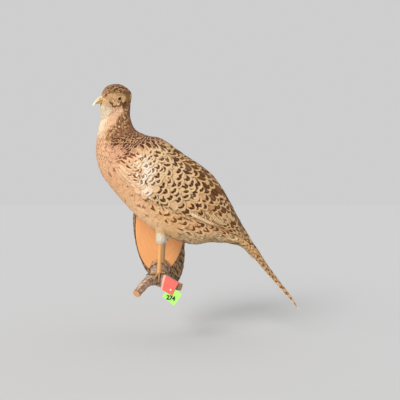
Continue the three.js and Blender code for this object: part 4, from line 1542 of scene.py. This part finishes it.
def eyes():
    """Both glass eyes and their lids."""
    glass = Shader("glass_eye", Roughness=0.2, Coat_Weight=0.12, Coat_Roughness=0.05,
                   Specular_IOR_Level=0.2)
    tint = glass.layer("tone")
    glass.finish(glass.shaded(tint, glass.line(glass.noise(1400.0, 3.0), 0.8, 0.6)))
    lid = Shader("eyelid", Specular_IOR_Level=0.4)
    wrinkle = lid.noise(1100.0, 4.0)
    lid_color = lid.mix(wrinkle, "c29a6c", "ecca9e")
    # The dark 5a3a22 is painted shade where the lids meet the eyeball.
    lid.finish(lid.mix(lid.layer("tone"), lid_color, "5a3a22"), 0.6, wrinkle, 0.0004)
    for name, side in SIDES:
        eyeball(name, side, glass.material)
        eyelids(name, side, lid.material)


# ------------ the legs
def limb_lines():
    """The branch's three limbs: the line and the radii of each, at 81 even places."""
    fork = np.array(BRANCH["fork"], float)
    start = fork + BRANCH["knee"]
    limbs = {"stem": curve([BRANCH["root"], BRANCH["middle"], BRANCH["fork"]], 81)}
    for side in ("left", "right"):
        end = np.array(BRANCH[f"{side}_end"], float)
        bend = (fork + end) / 2 + BRANCH[f"{side}_rise"]
        limbs[side] = curve([start, bend, end], 81)
    return {name: (line, at_share(BRANCH[name], np.linspace(0, 1, 81)))
            for name, line in limbs.items()}


LIMBS = limb_lines()
BARK_MIDDLES = np.vstack([line for line, radii in LIMBS.values()])
BARK_RADII = np.concatenate([radii for line, radii in LIMBS.values()])


def bark_gaps(points):
    """How far points are from the branch's bark, by each place of its limbs."""
    return np.linalg.norm(points[..., None, :] - BARK_MIDDLES, axis=-1) - BARK_RADII


def above_bark(point, height):
    """A point moved to the given height above the branch, and the way up there."""
    away = np.array([0, 0, 1.0])
    for _ in range(4):
        gap = bark_gaps(point)
        nearest = int(np.argmin(gap))
        away = unit(point - BARK_MIDDLES[nearest])
        point = point + away * (height - gap[nearest])
    return point, away


def creep(start, way, length, heights):
    """Points of a toe that walks over the bark from its root, and where it then heads."""
    points = [start]
    for height in heights:
        point, away = above_bark(points[-1] + way * length / len(heights), height)
        points.append(point)
        way = unit(way - away * (way @ away))
    return points, way


def scaly(name, base, joint):
    """Scaly skin of the legs: plates coloured by the mesh, darker in their joints."""
    make = Shader(name, Specular_IOR_Level=0.5)
    cloud = make.noise(300.0, 4.0)
    fine = make.noise(2500.0, 3.0)
    color = make.mix(cloud, base, joint)
    color = make.mix(make.layer("tone"), color, "6a4020")
    color = make.mix(make.times(fine, 0.25), color, "f4d9a4")
    return make.finish(color, make.line(fine, 0.25, 0.35), fine, 0.0001)


def scales(front, lap, net, plate, behind, seam):
    """How far plates in front and a net of small scales behind stand out, as a share of
    the radius, and how deep each point lies in a joint, for the colour."""
    swell = front * plate * (lap - 0.5) + (1 - front) * behind * net
    joint = front * smooth(lap, seam, 0.02) + (1 - front) * 0.5 * smooth(net, -0.5, -0.9)
    return 1 + swell, joint


def toe_rings(line, radii):
    """A toe: lapping plates over its upper side, a net of small scales below."""
    size, pitch = 28, 1.9
    turn = circle(size)
    length = run(line)[:, None] / pitch
    net = np.sin(length * 9) * np.sin(turn * 9 + 2.2 * np.floor(length * 2))
    swell, joint = scales(smooth(np.cos(turn), -0.1, 0.35), length % 1, net, 0.16, 0.05, 0.16)
    return tube_rings(line, radii[:, None] * swell, size), joint


def tarsus(side, skin, foot):
    """The upright bone between heel and foot, stouter at both ends."""
    t = np.linspace(0, 1, 110)
    radii = mixed(TARSUS["heel"], TARSUS["shaft"], smooth(t, 0.0, 0.3))
    radii = mixed(radii, TARSUS["foot"], smooth(t, 0.7, 1.0))
    rings, joint = leg_rings(curve([np.array(LEGS[side]["heel"], float), foot], 110), radii)
    made = loft_piece(f"tarsus_{side}_scales", rings, skin, joint, poles=(0, 0))
    dressed(made, "scaly_leg", f"tarsus_{side}")


def foot_pad(side, skin, foot):
    """The middle of the foot: a flattened ball."""
    off = np.linspace(0.05, np.pi - 0.05, 26)[:, None, None]
    ring = wheel(circle(32), np.array([1.0, 0, 0]), np.array([0, 1.0, 0]))
    upward = np.array([0, 0, FOOT_PAD["flat"]])
    rings = foot + FOOT_PAD["radius"] * (np.cos(off) * upward + np.sin(off) * ring)
    made = loft_piece(f"foot_{side}_pad", rings, skin, 0 * rings[..., 0])
    dressed(made, "scaly_leg", f"foot_{side}")


def toe(name, side, skin, foot):
    """A toe that creeps over the bark, with its knuckles; gives its end and its heading."""
    heading, length, thick, thin = TOES[side][name]
    turn = math.radians(heading)
    heights = mixed(thick, thin, np.arange(1, 6) / 5) + CLEARANCE
    points, ahead = creep(foot, np.array([-math.cos(turn), -math.sin(turn), 0.0]),
                          length, heights)
    t = np.linspace(0, 1, 84)
    knuckles = 0.10 * np.sin(t * np.pi * (2 if name == "hind" else 3)) ** 2
    radii = mixed(thick, thin, t) * (1 - 0.10 + knuckles)
    radii = radii * np.sqrt(1 - smooth(t, 0.93, 1.03) ** 2 * 0.55)
    rings, joint = toe_rings(curve(points, 84), radii)
    made = loft_piece(f"toe_{name}_{side}_scales", rings, skin, joint, poles=(0, 0))
    dressed(made, "scaly_leg", f"toe_{name}_{side}")
    return points[-1], ahead


def claw(name, horn_material, start, ahead):
    """A curved, tapering claw that goes on from a toe."""
    heights = np.array([CLAW["root"], CLAW["root"], CLAW["tip"]]) + CLEARANCE
    points, _ = creep(start + ahead * CLEARANCE, ahead, CLAW["length"], heights)
    t = np.linspace(0, 1, 30)
    line = curve(points, 30) + np.array([0, 0, 0.45]) * np.sin(t * np.pi)[:, None]
    rings = tube_rings(line, mixed(CLAW["root"] * 0.85, CLAW["tip"], t**1.2), 18)
    dressed(loft_piece(f"{name}_nail", rings, horn_material), "claw_horn", name)


def legs():
    """Tarsi, feet, toes and claws of both legs."""
    # Painted light: the near (left) leg's skin is a brighter, more orange lit copy, and the far
    # (right) leg's a darker shaded copy, of one leg skin.
    skins = {"left": scaly("leg_lit_ochre", "eca850", "cb8a3c"),
             "right": scaly("leg_shaded_tan", "b0835a", "8a5c30")}
    toe_skin = scaly("toe_tan", "c79d6c", "9d7549")
    nail = mottled("claw_horn", (500.0, 500.0, 900.0), 3.0, "7b5b3c", "4b3524", 0.35, 0.0001,
                   Coat_Weight=0.2)
    for side, skin in skins.items():
        height = FOOT_PAD["radius"] * FOOT_PAD["flat"] - FOOT_PAD["sunk"]
        foot = above_bark(np.array(LEGS[side]["foot"], float), height)[0]
        tarsus(side, skin, foot)
        foot_pad(side, skin, foot)
        for name in TOES[side]:
            claw(f"claw_{name}_{side}", nail, *toe(name, side, toe_skin, foot))


def leg_rings(line, radii):
    """The upright tarsus: lapping plates down its front, a net of scales behind."""
    turn = circle(36)
    length = np.linalg.norm(line - line[0], axis=1)[:, None]
    net = np.sin(length * 3.6) * np.sin(turn * 8 + np.floor(length / 0.87) * 2.1)
    swell, joint = scales(smooth(np.cos(turn), -0.05, 0.4), length / 2.6 % 1, net,
                          0.10, 0.05, 0.14)
    fore, side = np.array([-1.08, 0, 0]), np.array([0, -0.92, 0])
    return line[:, None] + (radii[:, None] * swell)[..., None] * wheel(turn, fore, side), joint


# ------------ plaque and branch
def ellipse_section(depth, turn, inset=0.0):
    """A point of the slice of log: three leaning ellipses, one after the other in depth
    (0 at the wall, 1 at the face), each drawn in by inset."""
    table = np.array([PLAQUE[key] for key in ("back", "middle", "face")], float)
    y = depth * table[2, 0]
    place = np.interp(y, table[::-1, 0], [2, 1, 0])
    low = np.clip(place.astype(int), 0, 1)
    rows = mixed(table[low], table[low + 1], (place - low)[..., None])
    y, x, z, a, b, lean = (rows[..., n] for n in range(6))
    px, pz = (a - inset) * np.cos(turn), (b - inset) * np.sin(turn)
    lean = np.radians(lean)
    return np.stack([x + px * np.cos(lean) - pz * np.sin(lean), y,
                     z + px * np.sin(lean) + pz * np.cos(lean)], axis=-1)


def varnished_wood():
    """The sawn face: orange wood under varnish, with faint oval year rings and pores."""
    make = Shader("varnished_wood", Coat_Weight=0.35, Coat_Roughness=0.25)
    spot = make.place((21.0, 21.0, 10.5), (-0.1, 0.0, -0.45))
    sway = make.noise(22.0, 3.0)
    apart = make.node("VectorMath", {"operation": "LENGTH"}, Vector=spot)
    rings = make.line(sway, 0.35, apart.outputs["Value"])
    wave = make.math("SINE", make.times(rings, 62.0))
    line = make.step(wave, 0.3, 1.0)
    pores = make.noise((900.0, 900.0, 260.0), 3.0)
    cloud = make.noise(14.0, 3.0)
    color = make.mix(cloud, "f7b270", "eda35f")
    color = make.mix(make.times(line, 0.12), color, "d58443")
    color = make.mix(make.step(pores, 0.62, 0.78), color, "dc8c4a")
    return make.finish(color, make.line(pores, 0.2, 0.32),
                       make.math("ADD", pores, make.times(line, 0.4)), 0.0002)


def bark(name, ridge="a98c6b", furrow="4c3521", red=0.35):
    """Bark: a grey-brown skin, darker in the furrows by the mesh's own relief, with
    lichen-pale ridges, reddish patches and fine cracks."""
    make = Shader(name, Specular_IOR_Level=0.2)
    relief = make.layer("tone")
    cloud = make.noise(60.0, 4.0)
    fine = make.noise(520.0, 5.0, 0.65)
    patch = make.noise(95.0, 3.0)
    high = make.line(make.minus(fine, 0.5), 0.7, relief)
    color = make.mix(make.step(high, 0.2, 0.75), furrow, ridge)
    for noise, low, high, share, code in ((cloud, 0.45, 0.75, 0.5, "94806c"),
                                          (patch, 0.58, 0.7, red, "9a4f3a"),
                                          (fine, 0.62, 0.8, 0.45, "d8c2a6")):
        color = make.mix(make.times(make.step(noise, low, high), share), color, code)
    return make.finish(color, 0.85, fine, 0.0012)


def plaque_wood():
    """The slice of log: its side, drawn in under the bark, and its sawn face."""
    depth = np.concatenate([[0.0, 0.0], np.linspace(0.005, 0.99, 30), [1.0, 1.0]])[:, None]
    draw_in = np.concatenate([[6.0, 0.3], np.zeros(30), [0.35, 1.2]])[:, None]
    side, across = np.broadcast_arrays(depth, circle(240))
    rings = ellipse_section(side, across, PLAQUE["bark"] + CLEARANCE + draw_in)
    shrink = np.linspace(0.97, 0.04, 24)[:, None]
    centre = rings[-1].mean(0)
    face = centre + (rings[-1] - centre) * shrink[..., None]
    face[..., 1] += 0.25 * ripple(face, 30.0, 3) * (1 - shrink**8)
    wood = loft_piece("plaque_face_wood", np.concatenate([rings, face]), varnished_wood())
    dressed(wood, "varnished_wood", "plaque_wood")


def plaque_bark():
    """The bark round the slice's rim: a hoop whose outer side is ridged."""
    side, across = np.broadcast_arrays(np.linspace(0, 1, 34)[:, None], circle(420))
    outer = ellipse_section(side, across)
    inner = ellipse_section(side, across, PLAQUE["bark"] - CLEARANCE / 2)
    relief = 0.6 * ripple(outer * (1, 0.35, 1), 7.0, 11) + 0.5 * ripple(outer, 3.2, 12)
    relief = np.clip(relief, -1.4, 1.4)
    rim = smooth(side, 0, 0.04) * smooth(side, 1.0, 0.95)
    way = unit(outer - inner)
    outer = outer + way * (0.75 * relief * (0.35 + 0.65 * rim) - 0.35)[..., None]
    outer[-1, :, 1] -= 0.3 + 0.35 * ripple(outer[-1], 4.0, 13)
    outer[0, :, 1] = 0.0
    points = np.concatenate([outer, inner[::-1]]).reshape(-1, 3)
    shade = np.clip(0.5 + 0.42 * relief, 0, 1).ravel()
    rim_bark = piece("plaque_rim_bark", points, hoop_faces(68, 420), bark("rim_bark"),
                     tone=np.append(shade, np.full(len(shade), 0.3)))
    dressed(rim_bark, "bark", "plaque_bark")


def branch():
    """The forked branch: three tubes grown into one by a voxel remesh, then ridged along
    their length."""
    points, faces = [], [[], []]
    for line, radii in LIMBS.values():
        these, those = closed_loft(tube_rings(line, radii - 0.35, 40))
        for kind, more in zip(faces, outward(these, those)):
            kind.append(more + sum(map(len, points)))
        points.append(these)
    made = piece("branch_bark_skin", np.vstack(points), [np.vstack(f) for f in faces],
                 bark("branch_bark", "cbab90", "98796a", 0.12))
    grow = made.modifiers.new("grow", "REMESH")
    grow.mode = "VOXEL"
    grow.voxel_size = 1.0 * MM
    made.modifiers.new("soften", "SMOOTH").iterations = 4
    applied(made)
    mesh = made.data
    at = triples(mesh.vertices, "co") / MM
    normal = triples(mesh.vertex_normals, "vector")
    ways = np.vstack([unit(np.gradient(line, axis=0)) for line, radii in LIMBS.values()])
    way = ways[np.concatenate([bark_gaps(at[n:n + 4000]).argmin(axis=1)
                               for n in range(0, len(at), 4000)])]
    stretched = at - way * (at * way).sum(-1, keepdims=True) * 0.78
    relief = 0.75 * ripple(stretched, 4.6, 21) + 0.45 * ripple(stretched, 2.2, 22)
    relief = np.clip(relief + 0.3 * ripple(at, 9.0, 23), -1.5, 1.5)
    ends = np.array([BRANCH["left_end"], BRANCH["right_end"]], float)
    to_end = np.linalg.norm(at[:, None] - ends[None], axis=-1).min(axis=1)
    put_points(mesh, at + normal * (0.5 * relief * smooth(to_end, 4, 11) - 0.1)[:, None])
    put_layer(mesh, "tone", np.clip(0.55 + 0.4 * relief, 0, 1))
    mesh.polygons.foreach_set("use_smooth", np.ones(len(mesh.polygons), bool))
    dressed(made, "bark", "branch_stem", "branch_arm_left", "branch_arm_right")


def sawn_ends():
    """The branch's two sawn ends, with their year rings: discs with a rounded rim."""
    # Painted shade: the right end's wood colour is a darker shaded copy of the left end's.
    for name, code in (("left", "f9c18e"), ("right", "dfaa6c")):
        line, radii = LIMBS[name]
        end, out = line[-1], unit(line[-1] - line[-4])
        side = unit(np.cross(out, (0, 0, 1.0)))
        reach = np.concatenate([np.full(4, 1.0), np.linspace(0.96, 0.04, 24)])
        forth = np.concatenate([[-2.0, -0.4, 0.45, 0.62], np.full(24, 0.72)])
        turn = circle(64)
        wobble = 1 + 0.02 * np.sin(3 * turn + 1) + 0.015 * np.sin(5 * turn)
        ring = (radii[-1] - 0.5) * wobble[:, None] * wheel(turn, side, np.cross(side, out))
        rings = end + out * forth[:, None, None] + reach[:, None, None] * ring
        saw = Shader(f"sawn_end_{name}", Specular_IOR_Level=0.3)
        year = saw.layer("tone")
        grain = saw.noise(700.0, 4.0)
        color = saw.mix(year, code, "a86f3e")
        saw.finish(saw.mix(saw.times(grain, 0.4), color, "7d5a38"), 0.75, grain, 0.0003)
        shade = np.where(reach > 0.99, 0.9, (0.5 + 0.5 * np.sin(reach * 30)) * 0.55)
        shade = shade[:, None] * np.ones(64)
        cut = loft_piece(f"branch_cut_{name}", rings, saw.material, shade, poles=(0.9, 0.3))
        dressed(cut, "bark")


def highlight_ridge():
    """A low ridge on the left arm's upper edge, coloured pale as a painted highlight of the
    arm's
    lit top: it tapers to both ends, carried along the arm's line at its radius and turned
    from front to top."""
    line, radii = LIMBS["left"]
    t = np.linspace(0, 1, HIGHLIGHT_RIDGE["rows"])
    place = mixed(*HIGHLIGHT_RIDGE["span"], t)
    way = unit(at_share(unit(np.gradient(line, axis=0)), place))
    up = unit(np.array([0, 0, 1.0]) - way * way[:, 2:])
    front = np.cross(up, way)
    front = front * -np.sign(front[:, 1:2])
    away = wheel(np.radians(mixed(*HIGHLIGHT_RIDGE["turn"], t)), up, front)
    ridge = at_share(line, place) + away * (at_share(radii, place) - HIGHLIGHT_RIDGE["sunk"])[:, None]
    thick = HIGHLIGHT_RIDGE["radius"] * np.sin(np.pi * (0.04 + 0.92 * t)) ** 0.6
    rough = ripple(ridge[:, None] + 2 * np.cos(circle(20))[:, None], 6.0, 25)
    # Painted highlight: the ridge's pale bark colours stand for the arm's lit upper edge.
    made = loft_piece(
        "branch_highlight_ridge", tube_rings(ridge, thick[:, None] * (1 + 0.06 * rough), 20),
        bark("highlight_ridge_bark", "e8cba9", "b18d6d", 0.1), np.clip(0.6 + 0.3 * rough, 0, 1),
        poles=(0.5, 0.5))
    dressed(made, "bark")


# ------------ labels
def label_frame():
    """The labels' own frame on the right arm: its middle, along it, out and down."""
    fork, end = (np.array(BRANCH[key], float) for key in ("fork", "right_end"))
    taper = BRANCH["right"][-1] - BRANCH["right"][0]
    along_arm = unit(end - fork + np.array([0, -0.75 * taper, 0.66 * taper]))
    out = unit(np.array([0, -1.0, 0]) + along_arm * along_arm[1])
    down = unit(np.cross(along_arm, out))
    middle = (fork + end) / 2 + BRANCH["right_rise"]
    return middle, along_arm, out, down


def on_arm(a, forth, low):
    """A point of the labels' frame: so far along the arm, out of its middle, and down."""
    middle, way, out, down = label_frame()
    return (middle + np.asarray(a)[..., None] * way + np.asarray(forth)[..., None] * out
            + np.asarray(low)[..., None] * down)


def paper(name, code, worn, margin=0.0):
    """Matt coloured paper with cloudy fibres, rubbed edges and, where there is a margin,
    a paler strip down its left side."""
    make = Shader(name, Specular_IOR_Level=0.25)
    fibre = make.noise(1800.0, 5.0, 0.65)
    cloud = make.noise(130.0, 3.0)
    across, down = make.map("sheet")
    edge = make.math("MINIMUM", make.math("MINIMUM", across, make.minus(1.0, across)),
                     make.math("MINIMUM", down, make.minus(1.0, down)))
    color = make.mix(make.times(cloud, 0.35), code, worn)
    color = make.mix(make.times(make.step(edge, 0.035, 0.0), 0.6), color, worn)
    strip = make.times(make.step(across, margin + 0.03, margin), 0.8)
    color = make.mix(strip if margin else 0.0, color, "f3c3ae")
    color = make.mix(make.times(make.step(fibre, 0.55, 0.8), 0.25), color, worn)
    return make.finish(color, 0.8, fibre, 0.00008)


def sheet_piece(name, front, material):
    """A closed sheet: the front grid, and the same grid set back by the paper's depth."""
    rows, columns = front.shape[:2]
    back = front - label_frame()[2] * LABEL["paper"]
    rings = np.concatenate([front, back[:, ::-1]], axis=1)
    across = np.linspace(0, 1, columns)
    down = np.linspace(0, 1, rows)
    sheet = np.stack(np.broadcast_arrays(np.append(across, across[::-1]), down[:, None]), -1)
    sheet = np.vstack([sheet.reshape(-1, 2), [[0.5, 0.0], [0.5, 1.0]]])
    points, faces = closed_loft(rings)
    return piece(name, points, faces, material, uvs={"sheet": sheet})


def figures(centre, across, down, out):
    """Plain figures in thick black ink on the card, made from text as a thin solid mesh."""
    writing = bpy.data.curves.new("figures", "FONT")
    writing.body = FIGURES["text"]
    writing.align_x = "CENTER"
    writing.align_y = "CENTER"
    writing.size = FIGURES["height"] * 1.4
    writing.offset = FIGURES["bold"]
    writing.extrude = FIGURES["ink"] / 2
    maker = linked("figures_text", writing)
    mesh = as_mesh(maker)
    bpy.data.objects.remove(maker)
    flat = triples(mesh.vertices, "co")
    turn = math.radians(FIGURES["turn"])
    right = across * math.cos(turn) + down * math.sin(turn)
    upward = across * math.sin(turn) - down * math.cos(turn)
    put_points(mesh, centre + flat[:, :1] * right + flat[:, 1:2] * upward + flat[:, 2:] * out)
    mesh.materials.clear()
    mesh.materials.append(mottled("card_ink", 900.0, 3.0, "20241c", "3a4230", 0.7,
                                  Specular_IOR_Level=0.2))
    made = linked("label_green_figures", mesh)
    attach(made, "root")


def red_label():
    """The red paper: folded over the arm, flared at the fold and curled at its end."""
    red, thick = LABEL["red"], LABEL["paper"]
    fold = red["fold"] * np.linspace(1, 0, 26)[:-1]
    drop = np.linspace(0, red["drop"], 22)
    forth = np.append(np.cos(fold), np.ones(22)) * (LABEL_STAND + thick)
    low = np.append(-np.sin(fold) * (LABEL_STAND + thick), drop)
    a = np.linspace(-0.5, 0.5, 40) * red["width"] + red["at"]
    forth, low, a = np.broadcast_arrays(forth[:, None], low[:, None], a)
    upper = 1 - (low - low.min()) / np.ptp(low)
    a = a - red["flare"] * upper * (0.5 - (a - red["at"]) / red["width"])
    curl = smooth(low, 0.5 * red["drop"], red["drop"]) * (0.5 * np.sin(a * 0.16) - 0.1)
    sheet = sheet_piece("label_red_paper", on_arm(a, forth + curl, low),
                        paper("red_paper", "f2655a", "ff9484", 0.12))
    dressed(sheet, "red_paper", "label_red")


def green_label():
    """The green card, askew behind the red paper and bent a little, and its figures."""
    green = LABEL["green"]
    cos, sin = math.cos(green["turn"]), math.sin(green["turn"])

    def on_card(x, y, level):
        return on_arm(green["at"][0] + x * cos - y * sin, level,
                      green["at"][1] + x * sin + y * cos)

    x = np.linspace(-0.5, 0.5, 36) * green["width"]
    y = np.linspace(-0.5, 0.5, 32)[:, None] * green["height"]
    level = LABEL_STAND - CLEARANCE - 0.5
    level = level - 0.35 * smooth(y, 0, 12) * (0.5 + 0.5 * np.sin(x * 0.2 + 1))
    card = sheet_piece("label_green_card", on_card(x, y, level),
                       paper("green_card", "aef76c", "ccff9a"))
    dressed(card, "green_paper", "label_green")
    _, way, out, down = label_frame()
    figures(on_card(*FIGURES["place"], LABEL_STAND - 0.1), way * cos + down * sin,
            down * cos - way * sin, out)


def tack_head():
    """The tack's enamelled head: a low dome."""
    tack = LABEL["tack"]
    _, way, out, down = label_frame()
    enamel = mottled("tack_head", 900.0, 4.0, "f1e4d4", "d3bfae", 0.4, 0.00008,
                     Coat_Weight=0.2, Coat_Roughness=0.2)
    off = (np.linspace(0.02, 0.98, 22) * np.pi)[:, None, None]
    forth = LABEL_STAND + LABEL["paper"] + CLEARANCE + tack["radius"] * 0.4 + 0.25
    dome = np.cos(off) * np.where(np.cos(off) > 0, 0.4, 0.5) * out
    rings = on_arm(tack["at"][0], forth, tack["at"][1]) + tack["radius"] * (
        dome + np.sin(off) * wheel(circle(40), way, down))
    dressed(loft_piece("label_tack_head", rings, enamel), "tack_head", "label_tack")


# ------------ floor, light, camera
ROOM = 0.62  # brightness of the pale room
KEY = {"from": (-0.44, -0.84, 0.52), "strength": 1.75, "spread": 24}
FILL = {"from": (-0.90, -0.50, 0.06), "strength": 0.9, "spread": 60}
FLOOR = {"below": -185.0, "half": 30000.0}
CAMERA = {"at": (0.0767, -1.305, 0.0725), "lens": 60, "sensor": 36}


def stage():
    """A plain pale floor under the whole object, as bright under the key light as the pale
    room behind it, so that the two run together."""
    corners = np.array([(-1, -1, 1), (1, -1, 1), (1, 1, 1), (-1, 1, 1)]) * (
        FLOOR["half"], FLOOR["half"], FLOOR["below"])
    lit = ROOM + sum(lamp["strength"] * lamp["from"][2] / np.linalg.norm(lamp["from"]) / np.pi
                     for lamp in (KEY, FILL))
    low, high = ((ROOM / lit + change,) * 3 + (1.0,) for change in (-0.006, 0.006))
    mesh = bpy.data.meshes.new("floor")
    mesh.from_pydata((corners * MM).tolist(), [], [(0, 1, 2, 3)])
    mesh.materials.append(mottled("pale_floor", 1.5, 2.0, low, high, 1.0,
                                  Specular_IOR_Level=0.0))
    linked("floor", mesh)


def studio():
    """One broad soft key light from the upper left and front, a weak low one from the left
    that reaches under the bill, and a pale room."""
    for name, lit in (("key", KEY), ("fill", FILL)):
        light = bpy.data.lights.new(name, "SUN")
        light.angle = math.radians(lit["spread"])
        light.energy = lit["strength"]
        lamp = linked(name, light)
        lamp.rotation_euler = Vector(lit["from"]).to_track_quat("Z", "Y").to_euler()
    world = bpy.data.worlds.new("pale_room")
    world.use_nodes = True
    background = world.node_tree.nodes["Background"]
    background.inputs["Color"].default_value = (1.0, 1.0, 1.0, 1)
    background.inputs["Strength"].default_value = ROOM
    bpy.context.scene.world = world
    bpy.context.scene.view_settings.view_transform = "Standard"


def camera():
    """The camera looks level at the wall from 1.2 m in front of the bird."""
    lens = bpy.data.cameras.new("camera")
    lens.lens = CAMERA["lens"]
    lens.sensor_width = CAMERA["sensor"]
    made = linked("camera", lens)
    made.location = CAMERA["at"]
    made.rotation_euler = (math.pi / 2, 0, 0)
    bpy.context.scene.camera = made


camera()
stage()
studio()
body_plumage = plumage("body_plumage", rim=(0.78, 0.90))
face_plumage = plumage("face_plumage", barbs=24.0)
back_plumage = plumage("back_plumage", blunt=0.45, rim=(0.70, 0.80))
quill_plumage = plumage("quill_plumage", blunt=0.72, bars=13.0, barbs=150.0)
tail_plumage = plumage("tail_plumage", blunt=0.7, bars=11.0, barbs=260.0)
skin_piece()
small_feathers(body_plumage, face_plumage)
large_feathers(back_plumage)
flank_feathers(back_plumage)
down_tufts(body_plumage)
for leg in LEGS:
    shank_tufts(body_plumage, leg)
wing_quills(quill_plumage)
tail_feathers(tail_plumage)
bill()
eyes()
legs()
plaque_wood()
plaque_bark()
branch()
sawn_ends()
highlight_ridge()
red_label()
green_label()
tack_head()
